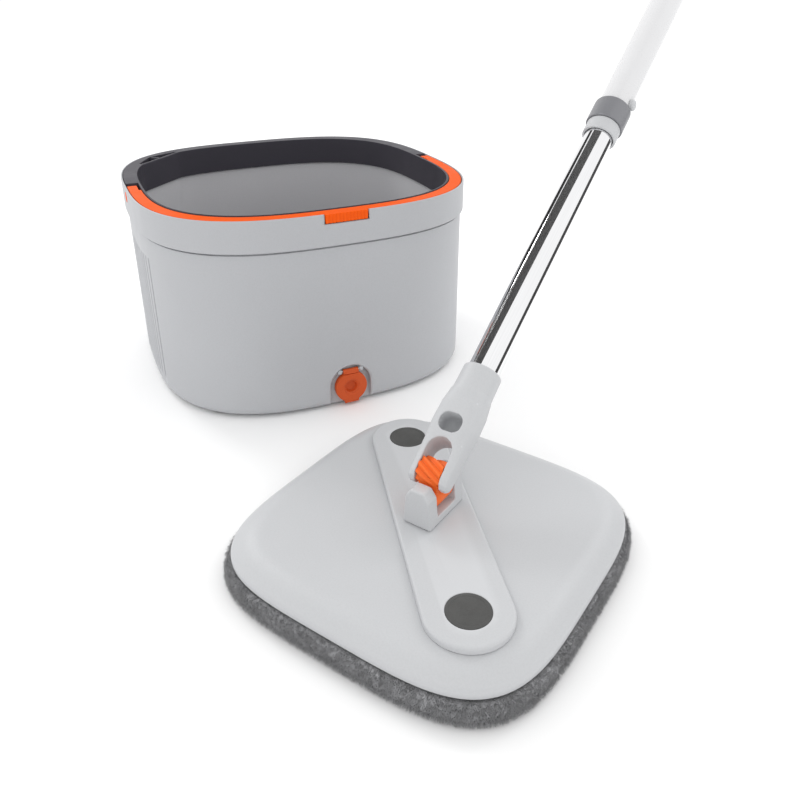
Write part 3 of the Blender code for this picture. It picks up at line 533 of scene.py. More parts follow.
def recess_cutter():
    """The plug's pocket, with a chamfer round its mouth."""
    mouth = 0.0014
    rings = []
    for y, spread in ((-SHELL_HALF - 0.01, mouth), (-SHELL_HALF + 0.0001, mouth), (-SHELL_HALF + 0.0013, 0),
                      (RECESS_Y - 0.0008, 0), (RECESS_Y, -0.0006)):
        rings.append([Vector((x, y, z)) for x, z in arch(0.0195 + spread, 0.0395 + spread, -0.01)])
    return loft("recess", rings)


def plug_pin_keepers():
    """The two blocks that hold the ends of the plug's hinge pin, bored for it."""
    pin_low, pin_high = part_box("plug_hinge_pin")
    bore_radius = (pin_high[2] - pin_low[2]) / 2 + 0.0001
    keepers = []
    for sign in (-1, 1):
        low, high = sorted((sign * 0.0080, sign * 0.0122))
        keeper = box("keeper", (low, PLUG_HINGE_Y - 0.0021, PLUG_HINGE_Z - 0.0022),
                     (high, RECESS_Y + 0.0006, PLUG_HINGE_Z + 0.0020))
        bevelled(keeper, 0.0016, 5)
        cut(keeper, rod("pin_bore", bore_radius, -0.02, 0.02, PLUG @ facing("X")))
        keepers.append(keeper)
    return keepers


def flute_cutters():
    """Upright round-bottomed flutes on the left side, with tapered ends."""
    count, first, pitch, depth, radius = 10, -0.059, 0.0086, 0.0012, 0.0021
    ends = ((0.0, 0.55), (0.0008, 0.78), (0.0020, 0.93), (0.0035, 1.0))
    low, high = 0.0150, 0.1340
    levels = [(low + rise, share) for rise, share in ends]
    levels += [(high - rise, share) for rise, share in reversed(ends)]
    cutters = []
    for index in range(count):
        y = first + pitch * index
        x = -SHELL_HALF * (1 - abs(y / SHELL_HALF) ** PLAN_POWER) ** (1 / PLAN_POWER)
        place = Matrix.Translation((x + depth - radius, y, 0))
        rings = [circle(radius * share, z, 20) for z, share in levels]
        cutters.append(loft("flute", rings, place=place))
    return cutters


def rim_collar():
    outer, inner = RIM_HALF, SHELL_HALF + GAP
    low, high = RIM_TOP - COLLAR_HEIGHT, RIM_TOP - 0.0002
    ledge_low, ledge_high = SHELL_TOP + GAP, SHELL_TOP + 0.0023
    ledge_inner = 0.1456
    corners = [(inner, low, 0.0003), (outer, low, 0.0012), (outer, high, 0.0014),
               (inner + 0.0004, high, 0.0004), (inner + 0.0004, ledge_high, 0), (ledge_inner, ledge_high, 0),
               (ledge_inner, ledge_low, 0), (inner, ledge_low, 0)]
    collar = loft("rim_collar_skin", [plan(half, z) for half, z in rounded(corners, True)], closed=True)
    notch = box("notch", (-TAB_HALF - 0.0010, -RIM_HALF - 0.01, RIM_TOP - 0.0084),
                (TAB_HALF + 0.0010, -0.1500, RIM_TOP + 0.01))
    holes = [rod("pivot_hole", 0.0053, -0.01, 0.01, facing("X", (sign * RIM_HALF, 0, BAIL_PIVOT_Z)))
             for sign in (-1, 1)]
    cut(collar, notch, *holes)
    finish_piece(collar, LIGHT_GREY, "bucket", ["rim_collar"])


def inner_frame():
    """The dark rim: a flange with an inner lip and skirt, a channel for the bail and a corner tray."""
    skirt_in, skirt_out, outer = INNER_HALF, INNER_HALF + 0.0020, 0.1529
    clip_in, clip_out = DUCT_DISTANCE, DUCT_DISTANCE + 0.0020
    corners = [(skirt_in, SKIRT_BOTTOM, clip_in, 0.0006), (skirt_out, SKIRT_BOTTOM, clip_out, 0.0006),
               (skirt_out, FLANGE_BOTTOM, clip_out, 0), (outer - 0.0022, FLANGE_BOTTOM, NO_CLIP, 0),
               (outer - 0.0022, SHELL_TOP + 0.0026, NO_CLIP, 0), (outer, SHELL_TOP + 0.0026, NO_CLIP, 0),
               (outer, RIM_TOP, NO_CLIP, 0.0010), (skirt_in, RIM_TOP, clip_in, 0.0012)]
    rings = [plan(half, z, clip=clip) for half, z, clip in rounded(corners, True, 0.004)]
    rim = loft("inner_frame_skin", rings, closed=True)
    cut(rim, bail_channel_cutter(), *corner_tray_cutters(), *lug_pocket_cutters())
    finish_piece(rim, DARK_GREY, "bucket", ["inner_frame"])


def front_half(half, z, end_y=0.0108):
    """The plan's front half, from just behind the left pivot round to the right one."""
    steps = 120
    points = [Vector((-half, end_y, z))]
    for index in range(1, steps):
        angle = math.pi + math.pi * index / steps
        c, s = math.cos(angle), math.sin(angle)
        reach = half / (abs(c) ** PLAN_POWER + abs(s) ** PLAN_POWER) ** (1 / PLAN_POWER)
        points.append(Vector((reach * c, reach * s, z)))
    return points + [Vector((half, end_y, z))]


def bail_channel_cutter():
    rings = [front_half(INNER_HALF + 0.0021, z) + list(reversed(front_half(0.1560, z)))
             for z in (RIM_TOP - CHANNEL_DEPTH, RIM_TOP + 0.005)]
    return loft("bail_channel", rings)


def corner_tray_cutters():
    """The two shallow trays behind the corner wall, with a rib between them, and their filling slots."""
    floor = RIM_TOP - 0.0055
    near, far = DUCT_DISTANCE + 0.0022, 0.1640
    tools = []
    turn = Matrix.Rotation(math.radians(135), 4, "Z")
    for low, high in ((-0.0290, -0.0015), (0.0015, 0.0290)):
        ends = (low, high) if abs(low) < abs(high) else (high, low)
        outline = [(near, ends[0]), (far, ends[0]), (far - 0.0085, ends[1]), (near, ends[1])]
        if ends[1] < ends[0]:
            outline.reverse()
        rings = [[Vector((x, y, z)) for x, y in outline] for z in (floor, RIM_TOP + 0.01)]
        tools.append(loft("tray", rings, place=turn))
        slot = sorted((ends[0] * 3, ends[1] * 0.72))
        tools.append(box("slot", (near + 0.0012, slot[0], FLANGE_BOTTOM - 0.01),
                         (near + 0.0058, slot[1], RIM_TOP), turn))
    return tools


def lug_pocket_cutters():
    tools = []
    for sign in (-1, 1):
        low, high = sorted((sign * 0.1438, sign * 0.1560))
        tools.append(box("lug_pocket", (low, -0.0118, SHELL_TOP - 0.01), (high, 0.0108, RIM_TOP + 0.01)))
    return tools


def wash_basin():
    outer, inner = INNER_HALF + 0.0040, INNER_HALF + 0.0024
    top, floor = FLANGE_BOTTOM - 0.0004, BASIN_FLOOR
    skin = DUCT_DISTANCE + 0.0046
    corners = [(outer - 0.0300, floor - 0.0025, skin, 0), (outer - 0.0060, floor - 0.0025, skin, 0.0070),
               (outer, SKIRT_BOTTOM - 0.0060, skin, 0.01), (outer, top, skin, 0.0004),
               (inner, top, skin - 0.0022, 0.0004), (inner, SKIRT_BOTTOM - 0.0040, skin - 0.0022, 0.01),
               (inner - 0.0060, floor, skin - 0.0022, 0.0080), (inner - 0.0300, floor, skin - 0.0022, 0)]
    rings = [plan(half, z, clip=clip) for half, z, clip in rounded(corners, longest=0.006)]
    basin = loft("wash_basin_skin", rings)
    join(basin, turned("boss", [(0.0170, floor - 0.0050, 0), (0.0170, floor + 0.0055, 0.0008),
                                (0.0100, floor + 0.0055, 0)]))
    cut(basin, rod("bearing_bore", 0.0113, 0.0, 0.08))
    ports = []
    for angle in (-100, -90, -80):
        spot = Matrix.Rotation(math.radians(angle), 4, "Z") @ Matrix.Translation((0.128, 0, 0))
        ports.append(rod("port", 0.0035, 0.03, 0.05, spot, HOLE_STEPS))
    cut(basin, *ports)
    finish_piece(basin, MID_GREY, "bucket", ["wash_basin"])


def spin_plate():
    """The turntable: a dished disc with a hub, ribs that grip the pad, water holes and an orange cap."""
    low = SPIN_Z
    corners = [(0.0053, low + 0.0130, 0), (0.0053, low - 0.0040, 0), (0.0105, low - 0.0040, 0.0004),
               (0.0125, low, 0.0008), (SPIN_RADIUS - 0.0040, low, 0.0020),
               (SPIN_RADIUS, low + 0.0035, 0.0020), (SPIN_RADIUS, low + 0.0070, 0.0008),
               (SPIN_RADIUS - 0.0022, low + 0.0070, 0.0008),
               (SPIN_RADIUS - 0.0030, low + 0.0030, 0.0010), (0.0150, low + 0.0030, 0.0030),
               (0.0110, low + 0.0130, 0.0008)]
    plate = turned("spin_plate_skin", corners, True, steps=160)
    count = 8
    ribs, holes = [], []
    for index in range(count):
        turn = Matrix.Rotation(2 * math.pi * (index + 0.5) / count, 4, "Z")
        rib = box("rib", (0.0300, -0.0016, low + 0.0015), (0.1120, 0.0016, low + 0.0060), turn)
        ribs.append(bevelled(rib, 0.0007))
        turn = Matrix.Rotation(2 * math.pi * (index + 0.1) / count, 4, "Z")
        spot = turn @ Matrix.Translation((0.0800, 0, 0))
        holes.append(rod("water_hole", 0.0050, low - 0.01, low + 0.01, spot, HOLE_STEPS))
    join(plate, *ribs)
    cut(plate, *holes)
    finish_piece(plate, DARK_GREY, "spinner", ["spin_plate"])
    cap = [(0.0108, low + 0.0133, 0.0003), (0.0108, low + 0.0185, 0.0030), (0.0030, low + 0.0195, 0.0006),
           (0.0020, low + 0.0180, 0.0003), (0.0058, low + 0.0170, 0.0003), (0.0058, low + 0.0133, 0.0002)]
    finish_piece(turned("spin_plate_cap_skin", cap, True), ORANGE, "spinner",
                 ["spin_plate_cap"])


def bail():
    """The folded-down carrying handle with its two ears; the ribbed finger tab is a piece of its own."""
    low, high = RIM_TOP - CHANNEL_DEPTH + GAP - BAIL_PIVOT_Z, RIM_TOP - GAP - BAIL_PIVOT_Z
    inner, outer = INNER_HALF + 0.0025, 0.1527
    rings = [front_half(inner, z, 0.0040) + list(reversed(front_half(outer, z, 0.0040))) for z in (low, high)]
    band = loft("bail_handle_skin", rings)
    ears = [rod("ear", 0.0078, 0.1450, 0.1524, facing(axis)) for axis in ("-X", "X")]
    join(band, *ears, box("tab_top", (-TAB_HALF, -0.1535, high - 0.0050), (TAB_HALF, -0.1480, high)))
    reliefs = []
    for sign in (-1, 1):
        near, far = sorted((sign * 0.1400, sign * 0.1444))
        reliefs.append(box("relief", (near, -0.0135, low - 0.01), (far, 0.0060, high + 0.01)))
    cut(band, *reliefs, rod("bore", 0.0033, -0.2, 0.2, facing("X")))
    moulded(band, 0.0005, 3)
    finish_piece(band, ORANGE, "bail", ["bail_handle"], BAIL, False)
    tab = bevelled(grip_tab(high), 0.0003, 2, 50)
    finish_piece(tab, ORANGE, "bail", [], BAIL)
    corners = [(0.0030, 0.1446, 0), (0.0030, 0.1528, 0), (0.0049, 0.1528, 0.0003), (0.0049, 0.1552, 0.0008),
               (0.0020, 0.1554, 0)]
    for side, axis in (("left", "-X"), ("right", "X")):
        pivot = turned("bail_pivot_%s_skin" % side, corners, place=facing(axis), steps=48)
        finish_piece(pivot, ORANGE, "bail", ["bail_pivot_" + side], BAIL)


def grip_tab(high):
    """The finger tab's lip, which hangs over the collar's notch and is ribbed on its outer side."""
    teeth = 12
    inner, outer, ridge = -0.1531, -0.1549, 0.0006
    outline = [(TAB_HALF, inner), (-TAB_HALF, inner)]
    for index in range(teeth * 4 + 1):
        wave = 0.5 - 0.5 * math.cos(math.pi * index / 2)
        outline.append((-TAB_HALF + 2 * TAB_HALF * index / (teeth * 4), outer - ridge * wave))
    rings = [[Vector((x, y, z)) for x, y in outline] for z in (high - 0.0076, high)]
    return loft("bail_grip_tab", rings)


def drain_plug():
    """The round drain plug on its strap, hinged at the top of its pocket."""
    drop, spigot = PLUG_Z - PLUG_HINGE_Z, 0.0022
    corners = [(0.0030, -spigot - 0.0085, 0), (0.0068, -spigot - 0.0085, 0.0008), (0.0068, -spigot, 0),
               (PLUG_RADIUS, -spigot, 0.0004), (PLUG_RADIUS, 0.0032, 0.0012), (0.0076, 0.0032, 0.0006),
               (0.0070, 0.0022, 0.0004), (0.0058, 0.0020, 0.0005), (0.0048, -0.0014, 0.0008),
               (0.0015, -0.0016, 0)]
    body = turned("drain_plug_skin", corners, place=facing("-Y", (0, 0, drop)))
    strap = box("strap", (-0.0072, -0.0024, drop + 0.0100), (0.0072, 0.0019, 0.0002))
    tab = box("tab", (-0.0068, -0.0030, drop - 0.0157), (0.0068, 0.0008, drop - 0.0100))
    barrel = rod("barrel", 0.0019, -0.0072, 0.0072, facing("X"))
    join(body, strap, tab, barrel)
    cut(body, box("line", (-0.0080, -0.0040, -0.0030), (0.0080, -0.0017, -0.0022)))
    moulded(body, 0.0003, 3)
    finish_piece(body, PLUG_ORANGE, "plug", ["drain_plug"], PLUG, False)


# Mop head

def pad_inset(height):
    """How far the pad's side lies inside its widest outline: round below, and drawn in to the top edge."""
    below = 0.0048 * max(0.0, 1 - height / 0.0050) ** 2
    slope = 0.0014 * max(0.0, height - 0.0075) / 0.0067
    drawn_in = 0.0030 * (max(0.0, height - 0.0135) / 0.0022) ** 2
    return below + slope + drawn_in


def mop_pad():
    """A soft pad with a plush skin: shallow clumps in the mesh, and single fibres as a child piece."""
    heights = [PAD_TOP * index / 16 for index in range(17)]
    rings = [plan(PAD_HALF - NAP - pad_inset(z), z, PLATE_POWER) for z in heights]
    pad = loft("mop_pad_plush", [plan(0.03, 0.0, PLATE_POWER)] + rings + [plan(0.03, PAD_TOP, PLATE_POWER)])
    skin = pad.modifiers.new("skin", "REMESH")
    skin.mode = "VOXEL"
    skin.voxel_size = 0.0012
    apply_modifiers(pad)
    skin_points = [(vertex.co.copy(), vertex.normal.copy()) for vertex in pad.data.vertices]
    for vertex, (point, normal) in zip(pad.data.vertices, skin_points):
        edge = min(1.0, max(0.0, (PAD_TOP - 0.0004 - point.z) / 0.0020))
        lump = noise.noise(point * 110) * 0.0005 + noise.noise(point * 380) * 0.0003
        moved = point + normal * lump * edge
        moved.z = min(PAD_TOP, max(0.0, moved.z))
        vertex.co = moved
    pad.data.shade_smooth()
    finish_piece(pad, PLUSH, "mop_head", ["mop_pad"], HEAD, False)
    fibres = pad_fibres()
    fibres.parent = pad
    binding()


def pad_fibres():
    """Fine fibres all round the pad's side, combed by a slow noise so that they lie in soft clumps."""
    chance = random.Random(7)
    points, faces = [], []
    for _ in range(FIBRE_COUNT):
        angle = chance.uniform(0, 2 * math.pi)
        c, s = math.cos(angle), math.sin(angle)
        power = PLATE_POWER
        reach = PAD_HALF / (abs(c) ** power + abs(s) ** power) ** (1 / power)
        normal = Vector((math.copysign(abs(c) ** (power - 1), c), math.copysign(abs(s) ** (power - 1), s), 0))
        normal.normalize()
        rise = chance.uniform(0.0003, PAD_TOP + 0.0030)
        height = min(rise, PAD_TOP - 0.0003)
        inward = pad_inset(height) + NAP + 0.0004 + max(0.0, rise - PAD_TOP) * 0.7
        root = Vector((reach * c, reach * s, height)) - normal * inward
        along = Vector((-normal.y, normal.x, 0))
        comb = noise.noise_vector(root * 420)
        droop = -0.9 + 1.2 * (rise / PAD_TOP) ** 3 + 0.9 * comb.z + chance.gauss(0, 0.15)
        sway = 1.2 * comb.x + chance.gauss(0, 0.15)
        direction = (normal + along * sway + UP * droop).normalized()
        tip = root + direction * chance.uniform(0.0024, 0.0040)
        tip.z = min(PAD_TOP + 0.0010, max(0.0002, tip.z))
        width = chance.uniform(0.00011, 0.00020)
        side = direction.cross(along + UP * 0.3).normalized() * width
        other = direction.cross(side).normalized() * width
        first = len(points)
        points += [root + side, root + other * 0.87 - side * 0.5, root - other * 0.87 - side * 0.5, tip]
        faces.append((first + 2, first + 1, first))
        for corner in range(3):
            faces.append((first + corner, first + (corner + 1) % 3, first + 3))
    mesh = bpy.data.meshes.new("mop_pad_fibres")
    mesh.from_pydata(points, [], faces)
    mesh.transform(HEAD)
    mesh.materials.append(PLUSH)
    mesh.shade_smooth()
    return new_piece("mop_pad_fibres", mesh)


def binding():
    """The smooth tape that is sewn round the pad's top, under the plate's edge."""
    outer = PAD_HALF - 0.0046
    corners = [(outer - 0.0100, PAD_TOP - 0.0010, 0), (outer - 0.0020, PAD_TOP - 0.0020, 0.0008),
               (outer, PAD_TOP - 0.0012, 0.0008), (outer - 0.0004, PAD_TOP + 0.0004, 0.0008),
               (outer - 0.0040, PAD_TOP + 0.0006, 0.0010), (outer - 0.0100, PAD_TOP + 0.0002, 0)]
    rings = [plan(half, z, PLATE_POWER) for half, z in rounded(corners, True)]
    finish_piece(loft("mop_pad_binding", rings, True), TAPE, "mop_head", [], HEAD)


def top_cover():
    """The cover shell: a short skirt, a sloping band all round and a flat top."""
    low = PAD_TOP + 0.0013
    corners = [(PLATE_HALF, low, 0.0006), (PLATE_HALF, 0.0216, 0.0030),
               (PLATE_HALF - 0.0110, PLATE_TOP, 0.0070), (0.0300, PLATE_TOP, 0),
               (0.0300, PLATE_TOP - 0.0028, 0),
               (PLATE_HALF - 0.0200, PLATE_TOP - 0.0028, 0.0050), (PLATE_HALF - 0.0029, 0.0205, 0.0020),
               (PLATE_HALF - 0.0029, low, 0.0004)]
    rings = [plan(half, z, PLATE_POWER) for half, z in rounded(corners, True, 0.02)]
    cover = loft("top_cover_skin", rings, True)
    middle = 0.0320
    join(cover, box("middle", (-middle, -middle, PLATE_TOP - 0.0028), (middle, middle, PLATE_TOP)))
    finish_piece(cover, PANEL_GREY, "mop_head", ["top_cover"], HEAD)


def centre_bar():
    """The raised bar across the plate, with a round cap over the screw at each end."""
    low = PLATE_TOP + GAP
    diagonal = Matrix.Rotation(math.radians(45), 4, "Z")
    corners = [(BAR_HALF_WIDTH, low, 0), (BAR_HALF_WIDTH, BAR_TOP, 0.0028),
               (BAR_HALF_WIDTH - 0.0060, BAR_TOP, 0)]
    rings = [stadium(CAP_DISTANCE, half, z) for half, z in rounded(corners, steps=8)]
    bar = loft("centre_bar_skin", rings, place=diagonal)
    seats = []
    for sign in (-1, 1):
        spot = diagonal @ Matrix.Translation((sign * CAP_DISTANCE, 0, 0))
        seat = [(CAP_RADIUS + 0.0001, BAR_TOP - 0.0014, 0), (CAP_RADIUS + 0.0001, BAR_TOP - 0.0004, 0),
                (CAP_RADIUS + 0.0006, BAR_TOP + 0.0001, 0), (CAP_RADIUS + 0.0006, BAR_TOP + 0.01, 0)]
        seats.append(turned("seat", seat, place=spot))
    cut(bar, *seats)
    finish_piece(bar, PANEL_GREY, "mop_head", ["centre_bar"], HEAD)
    cap = [(CAP_RADIUS, BAR_TOP - 0.0011, 0), (CAP_RADIUS, BAR_TOP - 0.0001, 0.0004),
           (CAP_RADIUS - 0.0020, BAR_TOP - 0.0001, 0.0003), (CAP_RADIUS - 0.0024, BAR_TOP - 0.0004, 0.0003),
           (0.0030, BAR_TOP - 0.0004, 0)]
    for name, sign in (("near", -1), ("far", 1)):
        spot = diagonal @ Matrix.Translation((sign * CAP_DISTANCE, 0, 0))
        piece = turned("round_cap_%s_skin" % name, cap, place=spot)
        finish_piece(piece, RUBBER, "mop_head", ["round_cap_" + name], HEAD)


def yoke_bracket():
    low, floor, top = BAR_TOP + GAP, 0.0405, 0.0620
    shoulder = 0.0560
    outline = [(-0.0108, low), (0.0108, low), (0.0090, shoulder), (0.0050, top), (-0.0050, top),
               (-0.0090, shoulder)]
    rings = [[Vector((x, y, z)) for y, z in outline] for x in (-EAR_OUTER, EAR_OUTER)]
    bracket = bevelled(loft("yoke_bracket_skin", rings), 0.0012)
    cut(bracket, box("channel", (-EAR_INNER, -0.03, floor), (EAR_INNER, 0.03, 0.10)),
        rod("ear_bore", PIN_HOLE, -0.0179, 0.0179, facing("X", (0, 0, LOWER_HINGE_Z))))
    moulded(bracket, 0.0004, 4)
    finish_piece(bracket, PANEL_GREY, "mop_head", ["yoke_bracket"], HEAD, False)


# Universal joint

def knuckle():
    """Two crossed barrels: the lower one turns in the bracket's ears, the ribbed upper one in the fork."""
    corners = [(0.0060, -0.0106, 0), (0.0084, -0.0106, 0.0008), (0.0084, 0.0106, 0.0008), (0.0060, 0.0106, 0)]
    barrel = turned("knuckle_skin", corners, place=facing("X"))
    teeth, turns, levels = 9, math.radians(70), 12
    middle_radius, ridge, half_length = 0.0081, 0.0011, 0.0089
    rings = []
    for level in range(levels + 1):
        share = level / levels
        ring = []
        for index in range(teeth * 10):
            angle = 2 * math.pi * index / (teeth * 10)
            radius = middle_radius + ridge * math.sin(teeth * angle)
            twisted = angle + turns * share
            z = -half_length + 2 * half_length * share
            ring.append(Vector((radius * math.cos(twisted), radius * math.sin(twisted), z)))
        rings.append(ring)
    upper = loft("upper_barrel", rings, place=facing("Y", (0, 0, HINGE_RISE)))
    join(barrel, upper, box("web", (-0.0078, -0.0070, 0.0), (0.0078, 0.0070, HINGE_RISE)))
    bores = [rod("bore", PIN_HOLE, -0.02, 0.02, facing(axis, (0, 0, rise)))
             for axis, rise in (("X", 0.0), ("Y", HINGE_RISE))]
    cut(barrel, *bores)
    moulded(barrel, 0.0003, 2)
    finish_piece(barrel, KNUCKLE_ORANGE, "knuckle", ["knuckle"], KNUCKLE, False)


def fork_socket():
    """A fork with two prongs below, a yoke with a pocket in its face, and the tube's socket above."""
    prong, tip = 0.0080, 0.0100
    stations = [(-tip, 0.0026, PRONG_OUTER - 0.0010, 6), (-tip + 0.0022, 0.0060, PRONG_OUTER, 6),
                (-tip + 0.0055, 0.0077, PRONG_OUTER, 6), (0.0, prong, PRONG_OUTER, 6),
                (0.0200, 0.0094, 0.0150, 5), (0.0320, 0.0116, 0.0158, 4), (0.0470, 0.0134, 0.0156, 3),
                (0.0570, 0.0142, 0.0147, 2.2), (0.0600, 0.0142, 0.0142, 2),
                (SOCKET_TOP - 0.0010, 0.0139, 0.0139, 2), (SOCKET_TOP, 0.0130, 0.0130, 2)]
    rings = []
    for z, half_x, half_y, power in stations:
        ring = plan(1.0, z, power, steps=96)
        rings.append([Vector((p.x * half_x, p.y * half_y, z)) for p in ring])
    socket = loft("fork_socket_skin", rings)
    window = box("window", (-0.03, -PRONG_INNER, -0.02), (0.03, PRONG_INNER, WINDOW_ARCH))
    window_top = rod("window_top", PRONG_INNER, -0.03, 0.03, facing("X", (0, 0, WINDOW_ARCH)))
    pocket = bevelled(box("pocket", (-0.03, -0.0084, 0.0262), (0.0045, 0.0084, 0.0392)), 0.0058, 6)
    bore = rod("bore", LOWER_TUBE_RADIUS, LOWER_TUBE_START, 0.12)
    pins = rod("pins", PIN_HOLE, -0.0132, 0.0132, facing("Y"))
    screw_corners = [(0.0020, 0.0080, 0), (0.0020, 0.0124, 0), (0.0034, 0.0125, 0), (0.0034, 0.0200, 0)]
    screw = turned("screw", screw_corners, place=facing("X", (0, 0, SCREW_HEIGHT)))
    cut(socket, window, window_top, pocket, bore, pins, screw)
    moulded(socket, 0.0005, 4)
    finish_piece(socket, PANEL_GREY, "lower_pole", ["fork_socket"], POLE, False)


# Pole

def pipe(name, outer, inner, low, high):
    corners = [(outer, low, 0.0003), (outer, high, 0.0003), (inner, high, 0.0002), (inner, low, 0.0002)]
    return loft(name, [circle(p[0], p[1], 128) for p in rounded(corners, True, 0.05, 3)], True)


def pole():
    lower = pipe("lower_tube_skin", LOWER_TUBE_RADIUS, LOWER_TUBE_RADIUS - TUBE_WALL, LOWER_TUBE_START,
                 LOWER_TUBE_END)
    finish_piece(lower, CHROME, "lower_pole", ["lower_tube"], POLE)
    upper = pipe("upper_tube_skin", UPPER_TUBE_RADIUS, UPPER_TUBE_RADIUS - TUBE_WALL, LOCK_START + GAP,
                 UPPER_TUBE_END)
    finish_piece(upper, WHITE, "upper_pole", ["upper_tube"], POLE)
    bore = LOWER_TUBE_RADIUS + 0.0005
    collar = [(bore, COLLAR_START, 0.0003), (0.0137, COLLAR_START, 0.0014),
              (0.0137, LOCK_START - GAP, 0.0004), (bore, LOCK_START - GAP, 0.0002)]
    finish_piece(turned("slide_collar_skin", collar, True), PANEL_GREY, "upper_pole",
                 ["slide_collar"], POLE)
    button = [(0.0045, 0.0127, 0), (0.0045, 0.0150, 0.0006), (0.0034, 0.0164, 0.0010), (0.0010, 0.0164, 0)]
    detent = turned("lock_detent_skin", button, place=facing("-Y", (0, 0, LOCK_END + 0.0062)))
    finish_piece(detent, PANEL_GREY, "upper_pole", ["lock_detent"], POLE)
    ring = [(0.0131, LOCK_START, 0.0002), (0.0151, LOCK_START, 0.0012), (0.0151, LOCK_END, 0.0012),
            (0.0131, LOCK_END, 0.0002)]
    finish_piece(turned("lock_ring_skin", ring, True), LOCK_GREY, "lock_ring",
                 ["lock_ring"], POLE)
    grip_top = grip()
    hang_cap(grip_top)


def grip():
    """Five soft rolls to hold; returns the height at which they end."""
    corners = []
    for index in range(5):
        z = GRIP_START + 0.0265 * index
        corners += [(0.0148, z, 0.0008), (0.0156, z + 0.0030, 0.0014), (0.0156, z + 0.0210, 0.0014),
                    (0.0148, z + 0.0240, 0.0008)]
    top = corners[-1][1]
    inner = UPPER_TUBE_RADIUS + GAP
    corners += [(inner, top, 0), (inner, GRIP_START, 0)]
    finish_piece(turned("grip_skin", corners, True), DARK_GREY, "upper_pole", ["grip"],
                 POLE)
    return top


def hang_cap(grip_top):
    """The top plug, flattened into an eye to hang the mop by."""
    base = max(grip_top, UPPER_TUBE_END) + GAP
    stations = [(0.0, 0.0148, 0.0148, 2), (0.0100, 0.0150, 0.0125, 2.2), (0.0220, 0.0160, 0.0060, 3),
                (0.0420, 0.0150, 0.0050, 3), (0.0480, 0.0120, 0.0045, 3), (0.0510, 0.0060, 0.0035, 3)]
    rings = []
    for rise, half_x, half_y, power in stations:
        ring = plan(1.0, 0.0, power, steps=96)
        rings.append([Vector((p.x * half_x, p.y * half_y, base + rise)) for p in ring])
    cap = loft("hang_cap_skin", rings)
    cut(cap, rod("eye", 0.0095, -0.03, 0.03, facing("Y", (0, 0, base + 0.0335))))
    moulded(cap, 0.0005, 5)
    finish_piece(cap, PANEL_GREY, "upper_pole", ["hang_cap"], POLE, False)


def dress_hidden_parts():
    """Give every CAD node that stays a material of its own."""
    looks = {
        STEEL: ("thrust_ball", "spindle", "spindle_clip", "plug_hinge_pin", "plate_screw_1", "plate_screw_2",
                "plate_screw_3", "plate_screw_4", "bar_screw_near", "bar_screw_far", "knuckle_pin",
                "fork_pin", "socket_screw", "twisted_rod"),
        BEARING: ("lower_bush", "upper_bush", "clutch_housing", "clutch_cap", "drive_nut"),
        MID_GREY: ("bearing_housing",),
        DARK_GREY: ("rod_anchor",),
        LIGHT_GREY: ("base_plate",),
        RUBBER: ("plug_seal", "centre_foot", "foot_front_left", "foot_front_right", "foot_back_left",
                 "foot_back_right"),
        HOOKS: ("hook_strip_front", "hook_strip_back", "hook_strip_left", "hook_strip_right"),
    }
    for look, names in looks.items():
        for name in names:
            node = frame["nodes"][name]
            node.data.materials.clear()
            node.data.materials.append(look)


# Studio

EYE = Vector((-0.2128, -0.7211, 0.3623))
HEADING = Vector((0.4177, 0.9086, 0.0)).normalized()
PITCH = math.radians(25.39)


def aim(item, place, target):
    item.location = place
    item.rotation_euler = (Vector(target) - Vector(place)).to_track_quat("-Z", "Y").to_euler()


def camera():
    data = bpy.data.cameras.new("camera")
    data.lens = 34.41
    data.sensor_width = 36
    data.shift_y = -0.0875
    data.clip_start = 0.02
    result = bpy.data.objects.new("camera", data)
    bpy.context.scene.collection.objects.link(result)
    aim(result, EYE, EYE + HEADING * math.cos(PITCH) - UP * math.sin(PITCH))
    bpy.context.scene.camera = result


def lamp(name, place, target, size, watts):
    data = bpy.data.lights.new(name, "AREA")
    data.size = size
    data.energy = watts
    result = bpy.data.objects.new(name, data)
    bpy.context.scene.collection.objects.link(result)
    aim(result, place, target)


def floor():
    ground = box("studio_floor", (-20, -20, -0.02), (20, 20, -0.0004))
    look, tree, shader = new_material("studio_floor_look")
    shader.inputs["Roughness"].default_value = 0.9
    shader.inputs["Specular IOR Level"].default_value = 0.0
    tone = mix_colour(tree, speckle(tree, coordinates(tree), 3), (0.975, 0.975, 0.975), (0.985, 0.985, 0.985))
    tree.links.new(tone, shader.inputs["Base Color"])
    ground.data.materials.append(look)


def sky():
    world = bpy.data.worlds.new("studio_white")
    world.use_nodes = True
    world.node_tree.nodes["Background"].inputs["Color"].default_value = (1.0, 1.0, 1.0, 1.0)
    world.node_tree.nodes["Background"].inputs["Strength"].default_value = 1.08
    bpy.context.scene.world = world


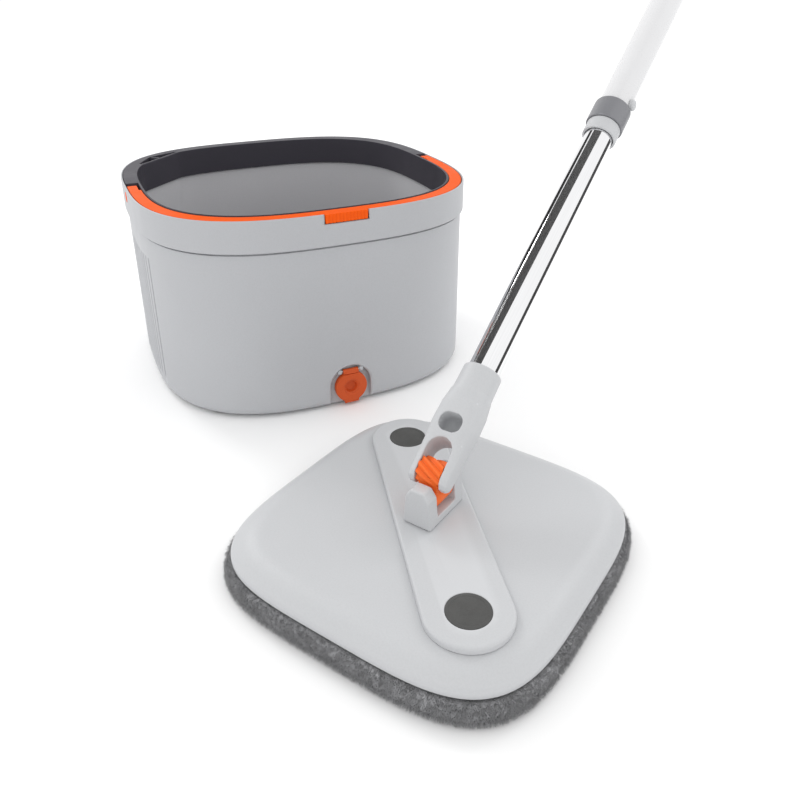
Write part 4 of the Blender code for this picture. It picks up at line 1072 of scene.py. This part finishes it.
def reflection_cards():
    """Dark cards beside the pole that draw long streaks on its chrome; only reflections see them."""
    middle = POLE_ORIGIN + POLE_Z * 0.19
    gaze = (middle - EYE).normalized()
    toward = (POLE_Z * gaze.dot(POLE_Z) - gaze).normalized()
    right = POLE_Z.cross(toward)
    if right.dot(HEADING.cross(UP)) < 0:
        right = -right
    distance, half_length = 0.34, 0.24
    along = gaze.dot(POLE_Z)
    drift = distance * along / math.sqrt(1 - along ** 2)
    strips = (("edge", (-0.985, -0.84), (-0.66, -0.56), 0.02),
              ("broad", (-0.84, -0.36), (-0.46, 0.06), 0.08),
              ("line", (0.60, 0.76), (0.70, 0.88), 0.05))
    columns = 8
    for name, foot, head, tone in strips:
        points = []
        for index in range(columns + 1):
            for reach, (start, end) in ((-half_length, foot), (half_length, head)):
                sine = start + (end - start) * index / columns
                normal = toward * math.sqrt(1 - sine ** 2) + right * sine
                ray = gaze - normal * 2 * gaze.dot(normal)
                across = (ray - POLE_Z * ray.dot(POLE_Z)).normalized()
                points.append(middle + across * distance + POLE_Z * (reach + drift))
        mesh = bpy.data.meshes.new("card_" + name)
        faces = [(2 * k, 2 * k + 1, 2 * k + 3, 2 * k + 2) for k in range(columns)]
        mesh.from_pydata(points, [], faces)
        look, _, shader = new_material("card_%s_look" % name)
        shader.inputs["Base Color"].default_value = (tone, tone, tone, 1.0)
        shader.inputs["Roughness"].default_value = 1.0
        mesh.materials.append(look)
        card = new_piece("card_" + name, mesh)
        card.visible_camera = False
        card.visible_diffuse = False
        card.visible_shadow = False
        card.visible_transmission = False


def studio():
    bpy.context.scene.view_settings.view_transform = "Standard"
    camera()
    floor()
    sky()
    target = Vector((0.02, -0.2, 0.05))
    key = target + Vector((-0.45, 1.24, 1.0)).normalized() * 2.2
    lamp("key_light", key, target, 0.5, 9)
    lamp("right_light", (1.6, 0.1, 1.3), target, 0.5, 4)
    reflection_cards()


bucket_shell()
rim_collar()
inner_frame()
wash_basin()
spin_plate()
bail()
drain_plug()
mop_pad()
top_cover()
centre_bar()
yoke_bracket()
knuckle()
fork_socket()
pole()
dress_hidden_parts()
studio()
